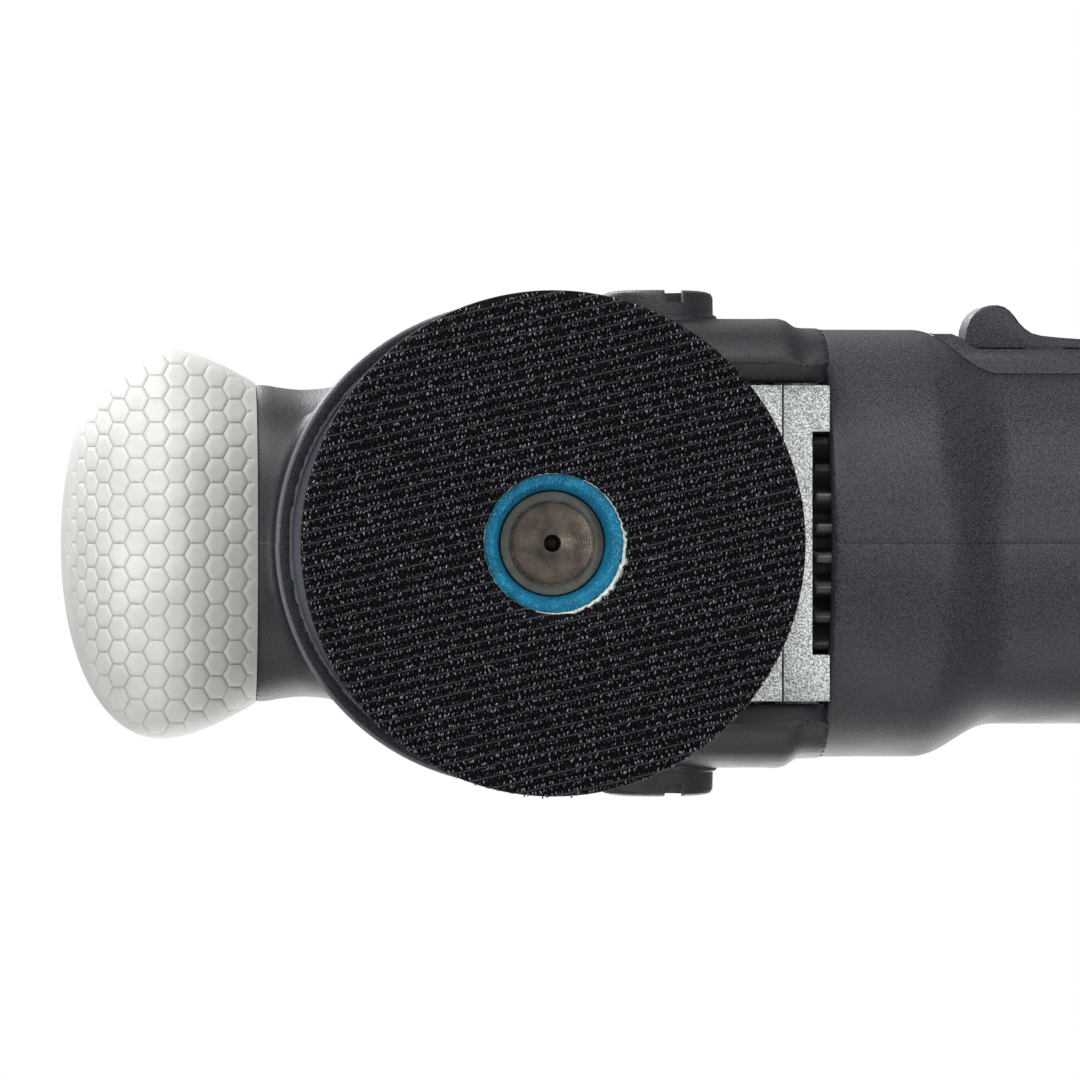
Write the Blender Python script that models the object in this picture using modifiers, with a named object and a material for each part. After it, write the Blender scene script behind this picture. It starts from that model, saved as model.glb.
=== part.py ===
# A small mains dual-action sander: a hook pad on an eccentric, a gear head and a straight handle.
# Lengths are in millimetres and become metres in the helpers. The working frame has the main
# spindle's axis at x = 0, y = 0, the hook face at z = 0, the handle towards +X and the switch on
# the -Y side.
import math

import bmesh
import bpy
from mathutils import Matrix, Vector

MM = 0.001
GAP = 0.3  # left between pieces that touch

# Pad and orbit
ORBIT = 4.0
PAD_RADIUS = 37.5
HOOK_THICKNESS = 2.2
FOAM_TOP = 9.5
PLATE_TOP = 13.0
PLATE_RADIUS = 33.0
PLATE_HUB_TOP = 16.6
PLATE_BOSS_RADIUS = 10.4
PLATE_BOSS_LOW = 1.2
PAD_RECESS_RADIUS = 8.4
INSERT_RADIUS = 7.8
INSERT_LOW = 5.0
INSERT_TOP = 17.0
STUD_RADIUS = 4.0
STUD_TOP = 30.0

# Eccentric drive
ORBIT_BEARING_OUTER = 14.0
ORBIT_BEARING_INNER = 6.0
ORBIT_BEARING_LOW = 23.0
ORBIT_BEARING_HEIGHT = 8.0
ECCENTRIC_RADIUS = 17.2
ECCENTRIC_LOW = 21.0
ECCENTRIC_TOP = 39.6
HUB_PLATE_RADIUS = 19.5
HUB_PLATE_TOP = 44.2
LOBE_RADIUS = 32.0
LOBE_LOW = 24.0
LOBE_TOP = 38.0

# Head and gears
ARMATURE_Z = 70.0
CROWN_TEETH = 34
PINION_TEETH = 10
GEAR_OUTER = 18.7
GEAR_INNER_SCALE = 0.6
SPINDLE_RADIUS = 6.0
SPINDLE_TIP_RADIUS = 4.0
HOUSING_LOW = 47.0
HOUSING_TOP = 94.0
HOUSING_RADIUS = 27.5
CASTING_UNDERSIDE = 38.0
CASTING_HALF_WIDTH = 24.4
CASTING_END = 42.0
CHAMBER_RADIUS = 21.5

# Covers
WALL = 2.4
SPLIT_X = -38.8  # white grip in front of it, black cover behind
GRIP_WIDEST_X = -53.3
GRIP_NOSE = 16.0
GRIP_HALF_WIDTH = 30.6
GRIP_END_HALF_WIDTH = 25.1
GRIP_HEIGHT_RATIO = 0.9
GRIP_CENTRE_Z = 58.0
GRIP_WALL = 3.0
COVER_END = 49.3
SHROUD_OUTER = 36.5
SHROUD_INNER = 34.5
SHROUD_LOW = 20.0
SHROUD_TOP = 44.0
EAR_INNER_Y = 25.0
BOSS_X = 24.0
BOSS_Z = 54.0
BOSS_RADIUS = 9.0
BOSS_REACH = 39.9
BOSS_ROOT = 29.5
INSERT_OUTER = 5.5
INSERT_INNER = 4.0

# Motor housing and handle
HOUSING_FRONT = 49.7
HOUSING_WIDE = 34.1
HANDLE_RADIUS = 28.9
SHOULDER_START = 66.0
SHOULDER_END = 79.0
REAR_ROUND_START = 196.0
HANDLE_END = 214.0
HANDLE_END_RADIUS = 16.0
CAVITY_RADIUS = 26.5
WEB_FRONT = 137.0
WEB_REAR = 147.0
WEB_HOLE = 13.3
GLAND_END = 226.0
CORD_HOLE = 4.1

# Motor
SHAFT_RADIUS = 4.0
BORE_RADIUS = 4.3
CORE_RADIUS = 17.0
STACK_RADIUS = 23.8
FAN_RADIUS = 28.3
FAN_BLADES = 36
BRUSH_X = 127.0
COMMUTATOR_RADIUS = 12.5

# Switch and dial
SWITCH_HALF_WIDTH = 4.8
SWITCH_TOP = 32.9
SWITCH_FRONT = 73.6
SWITCH_REAR = 94.0
SWITCH_TRAVEL = 4.5
FIN_TOP = 38.0
POD_FRONT = 68.0
POD_REAR = 112.0
LINK_HALF_HEIGHT = 4.0
LINK_FOOT_FRONT = WEB_REAR + SWITCH_TRAVEL + GAP  # slid forward, the foot stops short of the web
LINK_FOOT_REAR = 153.8
DIAL_X = 186.0
DIAL_Z = 89.6
DIAL_RADIUS = 11.0
DIAL_HALF_WIDTH = 2.5

CENTRE_X = (GRIP_WIDEST_X - GRIP_NOSE + GLAND_END) / 2

# Colour in sRGB (0-255), roughness, metallic
FINISHES = {
    "white_rubber": ((190, 194, 192), 0.6, 0.0),
    "black_shell": ((45, 44, 49), 0.5, 0.0),
    "silver_paint": ((152, 156, 158), 0.45, 0.3),
    "hook_fabric": ((42, 41, 47), 0.95, 0.0),
    "pad_foam": ((48, 47, 50), 0.95, 0.0),
    "blue_plastic": ((16, 98, 128), 0.4, 0.0),
    "steel": ((128, 126, 122), 0.35, 1.0),
    "dark_steel": ((78, 74, 68), 0.4, 1.0),
    "copper": ((168, 96, 52), 0.4, 1.0),
    "brass": ((180, 150, 84), 0.4, 1.0),
    "carbon": ((40, 40, 42), 0.7, 0.0),
    "grey_plastic": ((98, 100, 102), 0.5, 0.0),
    "black_rubber": ((32, 32, 34), 0.75, 0.0),
    "board": ((30, 92, 56), 0.5, 0.0),
}


def clear_scene():
    for obj in list(bpy.data.objects):
        bpy.data.objects.remove(obj, do_unlink=True)


def new_collection(name, hidden=False):
    group = bpy.data.collections.new(name)
    group.hide_render = hidden
    bpy.context.scene.collection.children.link(group)
    return group


def finish_of(finish):
    found = bpy.data.materials.get(finish)
    if found:
        return found
    colour, roughness, metallic = FINISHES[finish]
    made = bpy.data.materials.new(finish)
    made.use_nodes = True
    shader = made.node_tree.nodes["Principled BSDF"]
    linear = [(channel / 255) ** 2.2 for channel in colour]
    shader.inputs["Base Color"].default_value = (*linear, 1)
    shader.inputs["Roughness"].default_value = roughness
    shader.inputs["Metallic"].default_value = metallic
    return made


def empty_at(name, place, parent=None):
    marker = bpy.data.objects.new(name, None)
    marker.location = Vector(place) * MM
    marker.parent = parent
    parts.objects.link(marker)
    return marker


def add_piece(name, mesh, finish, place=(0, 0, 0), turn=(0, 0, 0), parent=None):
    """A part when it has a finish, or a hidden cutter when it has none."""
    piece = bpy.data.objects.new(name, mesh)
    piece.location = Vector(place) * MM
    piece.rotation_euler = [math.radians(angle) for angle in turn]
    piece.parent = parent or root
    if finish:
        mesh.materials.append(finish_of(finish))
        parts.objects.link(piece)
    else:
        piece.hide_render = True
        piece.display_type = "WIRE"
        cutters.objects.link(piece)
    return piece


def mesh_from(shape, name):
    bmesh.ops.recalc_face_normals(shape, faces=shape.faces)
    mesh = bpy.data.meshes.new(name)
    shape.to_mesh(mesh)
    shape.free()
    return mesh


AXIS_TURNS = {"Z": (0, 0, 0), "X": (0, 90, 0), "Y": (-90, 0, 0)}


def turned(name, profile, finish=None, axis="Z", at=(0, 0, 0), steps=20, ring=False, parent=None):
    """A turned piece. The profile is (radius, place along the axis), from the far end to the near
    end down the outside; a ring's profile goes back up its bore."""
    shape = bmesh.new()
    points = [shape.verts.new((radius * MM, 0, along * MM)) for radius, along in profile]
    pairs = list(zip(points, points[1:]))
    if ring:
        pairs.append((points[-1], points[0]))
    for pair in pairs:
        shape.edges.new(pair)
    mesh = bpy.data.meshes.new(name)
    shape.to_mesh(mesh)
    shape.free()
    piece = add_piece(name, mesh, finish, at, AXIS_TURNS[axis], parent)
    screw = piece.modifiers.new("turn", "SCREW")
    screw.steps = steps
    screw.render_steps = steps
    screw.use_smooth_shade = True
    screw.use_merge_vertices = True
    screw.merge_threshold = 0.00001
    return piece


def tube(name, outer, inner, near, far, finish=None, **settings):
    profile = [(outer, far), (outer, near), (inner, near), (inner, far)]
    return turned(name, profile, finish, ring=True, **settings)


def rod(name, radius, near, far, finish=None, **settings):
    return turned(name, [(0, far), (radius, far), (radius, near), (0, near)], finish, **settings)


def block(name, low, high, finish=None, bevel=0.0, parent=None, at=(0, 0, 0)):
    size = Vector(high) - Vector(low)
    middle = (Vector(high) + Vector(low)) / 2
    shape = bmesh.new()
    bmesh.ops.create_cube(shape, size=1.0)
    bmesh.ops.scale(shape, vec=size * MM, verts=shape.verts)
    bmesh.ops.translate(shape, vec=middle * MM, verts=shape.verts)
    piece = add_piece(name, mesh_from(shape, name), finish, at, parent=parent)
    if bevel:
        edges = piece.modifiers.new("edges", "BEVEL")
        edges.width = bevel * MM
        edges.segments = 2
    return piece


# Where an outline's own axes point, and then the way in which it is extruded
PLANES = {
    "XY": Matrix(((1, 0, 0), (0, 1, 0), (0, 0, 1))),
    "YZ": Matrix(((0, 0, 1), (1, 0, 0), (0, 1, 0))),
    "XZ": Matrix(((1, 0, 0), (0, 0, 1), (0, 1, 0))),
}


def extruded(name, outline, near, far, finish=None, plane="XY", at=(0, 0, 0), parent=None):
    """A flat outline extruded from near to far, as a mesh that can be cut."""
    curve = bpy.data.curves.new(name, "CURVE")
    curve.dimensions = "2D"
    curve.fill_mode = "BOTH"
    curve.extrude = (far - near) / 2 * MM
    spline = curve.splines.new("POLY")
    spline.points.add(len(outline) - 1)
    for point, (across, up) in zip(spline.points, outline):
        point.co = (across * MM, up * MM, 0, 1)
    spline.use_cyclic_u = True
    guide = bpy.data.objects.new(name, curve)
    parts.objects.link(guide)
    graph = bpy.context.evaluated_depsgraph_get()
    flat = bpy.data.meshes.new_from_object(guide.evaluated_get(graph))
    bpy.data.objects.remove(guide)
    shape = bmesh.new()
    shape.from_mesh(flat)
    bmesh.ops.remove_doubles(shape, verts=shape.verts, dist=0.000001)
    bmesh.ops.translate(shape, vec=(0, 0, (near + far) / 2 * MM), verts=shape.verts)
    bmesh.ops.transform(shape, matrix=PLANES[plane].to_4x4(), verts=shape.verts)
    return add_piece(name, mesh_from(shape, name), finish, at, parent=parent)


def lofted(name, rings, finish=None, at=(0, 0, 0), parent=None, closed_loop=False):
    """Bands between rings of points. The two ends are capped unless the rings close on themselves."""
    shape = bmesh.new()
    loops = [[shape.verts.new(Vector(point) * MM) for point in ring] for ring in rings]
    followers = loops[1:] + loops[:1] if closed_loop else loops[1:]
    for near, far in zip(loops, followers):
        for index in range(len(near)):
            after = (index + 1) % len(near)
            shape.faces.new((near[index], near[after], far[after], far[index]))
    if not closed_loop:
        shape.faces.new(loops[0][::-1])
        shape.faces.new(loops[-1])
    mesh = mesh_from(shape, name)
    mesh.shade_smooth()
    mesh.set_sharp_from_angle(angle=math.radians(35))
    return add_piece(name, mesh, finish, at, parent=parent)


def combine(target, tool, operation, solver):
    step = target.modifiers.new(tool.name, "BOOLEAN")
    step.object = tool
    step.operation = operation
    step.solver = solver


def cut(target, *tools, solver="EXACT"):
    for tool in tools:
        combine(target, tool, "DIFFERENCE", solver)


def join(target, *tools, solver="EXACT"):
    for tool in tools:
        combine(target, tool, "UNION", solver)


def shell_ring(x, half_width, low, high, lower_power=2.3, upper_power=2.3, count=28):
    """A closed section of a shell: a superellipse with its own squareness above and below."""
    ring = []
    for index in range(count):
        angle = 2 * math.pi * index / count
        across = math.cos(angle)
        up = math.sin(angle)
        power = upper_power if up > 0 else lower_power
        reach = (abs(across) ** power + abs(up) ** power) ** (-1 / power)
        half_height = (high - low) / 2
        ring.append((x, half_width * across * reach, (low + high) / 2 + half_height * up * reach))
    return ring


def smooth_step(value, start, end):
    share = min(max((value - start) / (end - start), 0), 1)
    return (1 - math.cos(math.pi * share)) / 2


# ---- Front grip -------------------------------------------------------------------------------
def grip_rings(inset, end):
    """Sections of the bulb, from its nose to its open end, drawn in by the inset."""
    rings = []
    for angle in (84, 70, 55, 40, 26, 12):
        forward = math.sin(math.radians(angle)) ** 0.93 * (GRIP_NOSE - inset)
        half_width = math.cos(math.radians(angle)) ** 0.93 * (GRIP_HALF_WIDTH - inset)
        rings.append((GRIP_WIDEST_X - forward, half_width))
    length = SPLIT_X - GRIP_WIDEST_X
    for share in (0.0, 0.3, 0.55, 0.8, 1.0):
        narrowing = (GRIP_HALF_WIDTH - GRIP_END_HALF_WIDTH) * share**1.6
        rings.append((GRIP_WIDEST_X + share * length, GRIP_HALF_WIDTH - inset - narrowing))
    rings[-1] = (end, rings[-1][1])
    sections = []
    for x, width in rings:
        half_height = width * GRIP_HEIGHT_RATIO
        sections.append(shell_ring(x, width, GRIP_CENTRE_Z - half_height, GRIP_CENTRE_Z + half_height))
    return sections


def make_front_grip():
    grip = lofted("front_grip", grip_rings(0, SPLIT_X - GAP / 2), "white_rubber")
    cut(grip, lofted("grip_hollow", grip_rings(GRIP_WALL, SPLIT_X + 1)))


# ---- Head cover -------------------------------------------------------------------------------
# Place along X, half-width, lowest and highest point, squareness of the lower half
SPIGOT_SECTIONS = (
    (-60.0, 18.0, 42.0, 74.0, 2.3),
    (-57.0, 21.0, 39.5, 77.0, 2.3),
    (-38.75, 21.4, 38.8, 77.6, 2.3),
)
NECK_SECTIONS = (
    (-38.65, 25.1, 35.4, 80.6, 2.3),
    (-35.0, 24.4, 35.2, 83.0, 2.4),
    (-31.0, 24.1, 34.8, 86.0, 2.5),
    (-26.0, 24.8, 34.2, 90.0, 2.8),
    (-20.0, 27.6, 33.8, 94.0, 3.4),
    (-12.0, 32.0, 33.6, 98.5, 4.5),
    (-3.0, 34.8, 33.6, 102.0, 6.0),
    (10.0, 35.2, 33.6, 103.8, 7.0),
    (43.5, 35.2, 34.0, 104.0, 7.0),
    (COVER_END, 34.1, 34.6, 104.0, 5.0),
)


def cover_rings(inset):
    """Sections of the cover. The inner ones step out later than the outer ones, to keep a wall there."""
    rings = []
    for index, (x, half_width, low, high, power) in enumerate(SPIGOT_SECTIONS):
        shift = inset if index != 1 else 0
        rings.append(shell_ring(x + shift, half_width - inset, low + inset, high - inset, power))
    for index, (x, half_width, low, high, power) in enumerate(NECK_SECTIONS):
        shift = inset if index == 0 else 0
        if index == len(NECK_SECTIONS) - 1 and inset:
            shift = 1.0
        rings.append(shell_ring(x + shift, half_width - inset, low + inset, high - inset, power))
    return rings


def half_space(side, name):
    """A block that takes away what is on the other side of the parting plane."""
    reach = 60
    low, high = (-reach, GAP / 2) if side > 0 else (-GAP / 2, reach)
    return block(name, (-90, low, -20), (240, high, 140))


def make_head_cover(side, label, cutouts):
    cover = lofted("head_cover_" + label, cover_rings(0), "black_shell")
    join(cover, cutouts["shroud"])
    cut(cover, cutouts["hollow"], cutouts["shroud_hollow"], cutouts["underside"])
    boss = turned(
        "boss_" + label,
        [(0, BOSS_REACH), (BOSS_RADIUS - 1.2, BOSS_REACH), (BOSS_RADIUS, BOSS_REACH - 1.2),
         (BOSS_RADIUS, BOSS_ROOT), (0, BOSS_ROOT)],
        at=(BOSS_X, 0, BOSS_Z),
    )
    boss.rotation_euler = [math.radians(-90 * side), 0, 0]
    bore = rod(
        "boss_bore_" + label, INSERT_OUTER + GAP, BOSS_ROOT - 2, BOSS_REACH + 2, at=(BOSS_X, 0, BOSS_Z),
    )
    bore.rotation_euler = [math.radians(-90 * side), 0, 0]
    join(cover, boss)
    cut(cover, bore, half_space(side, "cover_half_" + label))
    insert = tube(
        "handle_insert_" + label, INSERT_OUTER, INSERT_INNER, BOSS_ROOT + GAP, BOSS_REACH - 0.4, "brass",
        at=(BOSS_X, 0, BOSS_Z), steps=20,
    )
    insert.rotation_euler = [math.radians(-90 * side), 0, 0]


def make_head_covers():
    cutouts = {
        "shroud": turned(
            "shroud_solid",
            [(0, SHROUD_TOP), (SHROUD_OUTER - 3, SHROUD_TOP), (SHROUD_OUTER, SHROUD_TOP - 3),
             (SHROUD_OUTER, SHROUD_LOW + 1), (SHROUD_OUTER - 0.6, SHROUD_LOW), (0, SHROUD_LOW)],
            steps=40,
        ),
        "hollow": lofted("cover_hollow", cover_rings(WALL)),
        "shroud_hollow": rod("shroud_hollow", SHROUD_INNER, SHROUD_LOW - 2, SHROUD_TOP - 2, steps=40),
        "underside": block("underside_opening", (5, -EAR_INNER_Y, 20), (COVER_END + 4, EAR_INNER_Y, 50)),
    }
    make_head_cover(-1, "left", cutouts)
    make_head_cover(1, "right", cutouts)


# ---- Gear head castings -----------------------------------------------------------------------
COVER_SCREW_RADIUS = 24.2
COVER_SCREW_ANGLES = (45, 135, 225, 315)


def screw_profile(head_radius, shank_radius, head_far, head_near, tip):
    """A pan-head screw that points towards +Z or along its axis, head first."""
    return [
        (0, tip), (shank_radius * 0.6, tip), (shank_radius, tip - 1), (shank_radius, head_near),
        (head_radius, head_near), (head_radius, head_far + 0.5), (head_radius - 0.5, head_far), (0, head_far),
    ]


def make_gear_castings():
    housing = turned(
        "gear_housing",
        [(0, HOUSING_TOP), (14.5, HOUSING_TOP), (22, HOUSING_TOP - 4), (HOUSING_RADIUS, HOUSING_TOP - 13),
         (HOUSING_RADIUS, HOUSING_LOW), (0, HOUSING_LOW)],
        "silver_paint", steps=32,
    )
    barrel = rod("casting_barrel", 29.5, 4, CASTING_END, axis="X", at=(0, 0, ARMATURE_Z), steps=32)
    sole = block(
        "casting_sole", (12, -CASTING_HALF_WIDTH, CASTING_UNDERSIDE),
        (CASTING_END - 0.01, CASTING_HALF_WIDTH, 58),
    )
    sweep = rod("counterweight_sweep", 34, 30, HOUSING_LOW - 0.01, steps=40)
    chamber = rod("gear_chamber", CHAMBER_RADIUS, 40, 80, steps=32)
    top_pocket = rod("upper_bearing_pocket", 11.0 + GAP, 79, 92, steps=20)
    tunnel = turned(
        "pinion_tunnel",
        [(0, CASTING_END + 2), (14 + GAP, CASTING_END + 2), (14 + GAP, 32.7), (8, 32.7), (8, 12), (0, 12)],
        axis="X", at=(0, 0, ARMATURE_Z),
    )
    join(housing, barrel, sole)
    cut(housing, sweep, chamber, top_pocket, tunnel)

    # The cover carries the lower bearing and closes the gear chamber.
    cover = turned(
        "bearing_cover",
        [(CHAMBER_RADIUS - GAP, 57.3), (CHAMBER_RADIUS - GAP, HOUSING_LOW - GAP), (27, HOUSING_LOW - GAP),
         (27, 44.9), (7, 44.9), (7, 46.4), (16.2, 46.4), (16.2, 57.3)],
        "silver_paint", steps=28, ring=True,
    )
    for number, angle in enumerate(COVER_SCREW_ANGLES, 1):
        across = COVER_SCREW_RADIUS * math.cos(math.radians(angle))
        along = COVER_SCREW_RADIUS * math.sin(math.radians(angle))
        hole = rod(f"cover_screw_hole_{number}", 2.0, 43, 55, at=(across, along, 0), steps=12)
        cut(cover, hole)
        cut(housing, hole)
        turned(
            f"cover_screw_{number}", screw_profile(3.0, 1.7, 42.2, 44.6, 54.5), "steel",
            at=(across, along, 0), steps=12,
        )

    # The flange closes the gear head at the back and guides the fan's air down and out.
    flange = turned(
        "motor_flange",
        [(30.6, 49.4), (30.6, CASTING_END + GAP), (5.5, CASTING_END + GAP), (5.5, 44.5), (28.9, 44.5),
         (28.9, 49.4)],
        "silver_paint", axis="X", at=(0, 0, ARMATURE_Z), steps=32, ring=True,
    )
    sole_piece = block(
        "flange_sole", (CASTING_END + GAP + 0.01, -CASTING_HALF_WIDTH, CASTING_UNDERSIDE),
        (49.39, CASTING_HALF_WIDTH, 50),
    )
    fan_room = rod("fan_room", 28.91, 44.51, 52, axis="X", at=(0, 0, ARMATURE_Z), steps=32)
    vent = block("exhaust_vent", (46.7, -17.3, 30), (52, 17.3, 58))
    join(flange, sole_piece)
    cut(flange, fan_room, vent)


# ---- Motor housing ----------------------------------------------------------------------------
def housing_radius(x):
    """Outer radius of the motor housing and handle at a place along X."""
    if x > REAR_ROUND_START:
        share = (x - REAR_ROUND_START) / (HANDLE_END - REAR_ROUND_START)
        return HANDLE_END_RADIUS + (HANDLE_RADIUS - HANDLE_END_RADIUS) * math.sqrt(1 - share * share)
    return HOUSING_WIDE - (HOUSING_WIDE - HANDLE_RADIUS) * smooth_step(x, SHOULDER_START, SHOULDER_END)


def housing_profile(growth):
    """The housing's outside, from the rear end to the front lip, grown outwards by a little."""
    places = [213.2, 211, 207, 202, REAR_ROUND_START]
    shoulder = SHOULDER_END - SHOULDER_START
    places += [SHOULDER_END - shoulder * step / 7 for step in range(8)]
    side = [(housing_radius(x) + growth, x) for x in places]
    ends = [(0, HANDLE_END), (HANDLE_END_RADIUS, HANDLE_END)]
    lip = [
        (HOUSING_WIDE + growth, HOUSING_FRONT + 0.8), (HOUSING_WIDE - 0.8, HOUSING_FRONT), (0, HOUSING_FRONT),
    ]
    return ends + side + lip


# Place along X and height of each screw through the handle's halves
HOUSING_SCREWS = ((151.5, 49.0), (151.5, 91.0), (192.0, 49.0))


def make_motor_housing():
    hollow = turned(
        "handle_hollow",
        [(0, 211.5), (13, 211.5), (20, 206), (CAVITY_RADIUS, 195), (CAVITY_RADIUS, WEB_REAR),
         (WEB_HOLE, WEB_REAR), (WEB_HOLE, WEB_FRONT), (CAVITY_RADIUS, WEB_FRONT), (CAVITY_RADIUS, 68),
         (31.5, 58), (31.5, HOUSING_FRONT - 1), (0, HOUSING_FRONT - 1)],
        axis="X", at=(0, 0, ARMATURE_Z), steps=28,
    )
    gland_hole = rod("gland_hole", 6.4, 208, 220, axis="X", at=(0, 0, ARMATURE_Z), steps=20)
    caps = rod("brush_cap_holes", 6.4, ARMATURE_Z - 35, ARMATURE_Z + 35, at=(BRUSH_X, 0, 0), steps=20)
    dial_slot = block(
        "dial_slot", (DIAL_X - DIAL_RADIUS + 1.5, -DIAL_HALF_WIDTH - 0.7, 93),
        (DIAL_X + DIAL_RADIUS - 1.5, DIAL_HALF_WIDTH + 0.7, 103),
    )
    slider_pocket = block(
        "slider_pocket", (SWITCH_FRONT - SWITCH_TRAVEL - 0.4, -40, ARMATURE_Z - SWITCH_HALF_WIDTH - GAP),
        (SWITCH_REAR + 3, -30.4, ARMATURE_Z + SWITCH_HALF_WIDTH + GAP),
    )
    tab_slot = block(
        "tab_slot", (78.5, -34, ARMATURE_Z - LINK_HALF_HEIGHT - 0.5),
        (91.0, -24, ARMATURE_Z + LINK_HALF_HEIGHT + 0.5),
    )
    link_way = block(
        "link_way", (WEB_FRONT - 2, -26.2, ARMATURE_Z - LINK_HALF_HEIGHT - 0.5),
        (WEB_REAR + 2, -24.0, ARMATURE_Z + LINK_HALF_HEIGHT + 0.5),
    )
    posts = []
    holes = []
    for number, (x, z) in enumerate(HOUSING_SCREWS, 1):
        posts.append(rod(f"post_{number}", 3.8, -18, 18, axis="Y", at=(x, 0, z), steps=16))
        holes.append(turned(
            f"post_hole_{number}",
            [(0, 30), (3.4, 30), (3.4, 12.4), (1.9, 12.4), (1.9, -11), (0, -11)],
            axis="Y", at=(x, 0, z), steps=12,
        ))
        screw = turned(
            f"housing_screw_{number}", screw_profile(3.0, 1.5, -15.0, -12.8, 10), "steel",
            at=(x, 0, z), steps=12,
        )
        screw.rotation_euler = [math.radians(90), 0, 0]
    for side, label in ((-1, "left"), (1, "right")):
        half = turned(
            "motor_housing_" + label, housing_profile(0), "black_shell",
            axis="X", at=(0, 0, ARMATURE_Z), steps=36,
        )
        # The exact solver leaves open edges where the posts meet the round wall.
        settings = {"solver": "MANIFOLD"}
        cut(half, hollow, **settings)
        join(half, *posts, **settings)
        cut(half, gland_hole, caps, dial_slot, *holes, **settings)
        for row in range(4):
            vent = block(
                f"intake_{label}_{row + 1}",
                (160 + 6.5 * row, side * 31 - 7, 62), (163 + 6.5 * row, side * 31 + 7, 78),
            )
            cut(half, vent, **settings)
        if side < 0:
            cut(half, slider_pocket, tab_slot, link_way, **settings)
        cut(half, half_space(side, "housing_half_" + label), **settings)


# ---- Gears ------------------------------------------------------------------------------------
TOOTH_HALF_WIDTHS = (1.0, 0.42)  # at the root and at the tip
CROWN_ROOT = 63.25
CROWN_TIP = 65.6
CROWN_LOW = 58.0
PINION_ROOT = 4.2
PINION_TIP = 6.4
PINION_BACK = 18.7


def make_crown_gear(parent):
    """Teeth on a face, tapering to the point where the two gear axes meet."""
    root_half = TOOTH_HALF_WIDTHS[0] / GEAR_OUTER
    tip_half = TOOTH_HALF_WIDTHS[1] / GEAR_OUTER
    step = 2 * math.pi / CROWN_TEETH
    waves = []
    for tooth in range(CROWN_TEETH):
        middle = (tooth + 0.5) * step
        waves += [(middle - root_half, CROWN_ROOT), (middle - tip_half, CROWN_TIP),
                  (middle + tip_half, CROWN_TIP), (middle + root_half, CROWN_ROOT)]

    def ring(radius, heights):
        return [(radius * math.cos(a), radius * math.sin(a), z) for (a, _), z in zip(waves, heights)]

    outer = [z for _, z in waves]
    inner = [ARMATURE_Z - (ARMATURE_Z - z) * GEAR_INNER_SCALE for z in outer]
    flat = len(waves)
    bore = SPINDLE_RADIUS + GAP
    inner_radius = GEAR_OUTER * GEAR_INNER_SCALE
    rings = [
        ring(bore, [CROWN_LOW] * flat), ring(GEAR_OUTER - 1.5, [CROWN_LOW] * flat), ring(GEAR_OUTER, outer),
        ring(inner_radius, inner), ring(bore, [64.6] * flat),
    ]
    lofted("crown_gear", rings, "dark_steel", closed_loop=True, parent=parent)


def toothed_outline(count, root, tip, root_half, tip_half, phase):
    """A toothed ring's outline. The half-widths are lengths, measured along the circle."""
    outline = []
    for tooth in range(count):
        middle = phase + 2 * math.pi * tooth / count
        for radius, shift in (
            (root, -root_half / root), (tip, -tip_half / tip),
            (tip, tip_half / tip), (root, root_half / root),
        ):
            outline.append((radius * math.cos(middle + shift), radius * math.sin(middle + shift)))
    return outline


def make_pinion(parent):
    """The pinion's own frame has the armature's axis as its X axis."""
    outline = toothed_outline(PINION_TEETH, PINION_ROOT, PINION_TIP, 0.95, 0.38, -math.pi / 2)
    scales = (GEAR_INNER_SCALE, 1.0)
    rings = [[(PINION_BACK * scale, y * scale, z * scale) for y, z in outline] for scale in scales]
    pinion = lofted("pinion", rings, "dark_steel", parent=parent)
    hub = turned(
        "pinion_hub",
        [(0, 27), (5.5, 27), (5.5, PINION_BACK + 0.4), (3.8, PINION_BACK + 0.4), (3.8, PINION_BACK - 1),
         (0, PINION_BACK - 1)],
        axis="X", parent=parent, steps=20,
    )
    bore = rod("pinion_bore", 3.0 + GAP, 19.5, 28, axis="X", parent=parent, steps=16)
    join(pinion, hub)
    cut(pinion, bore)


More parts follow.
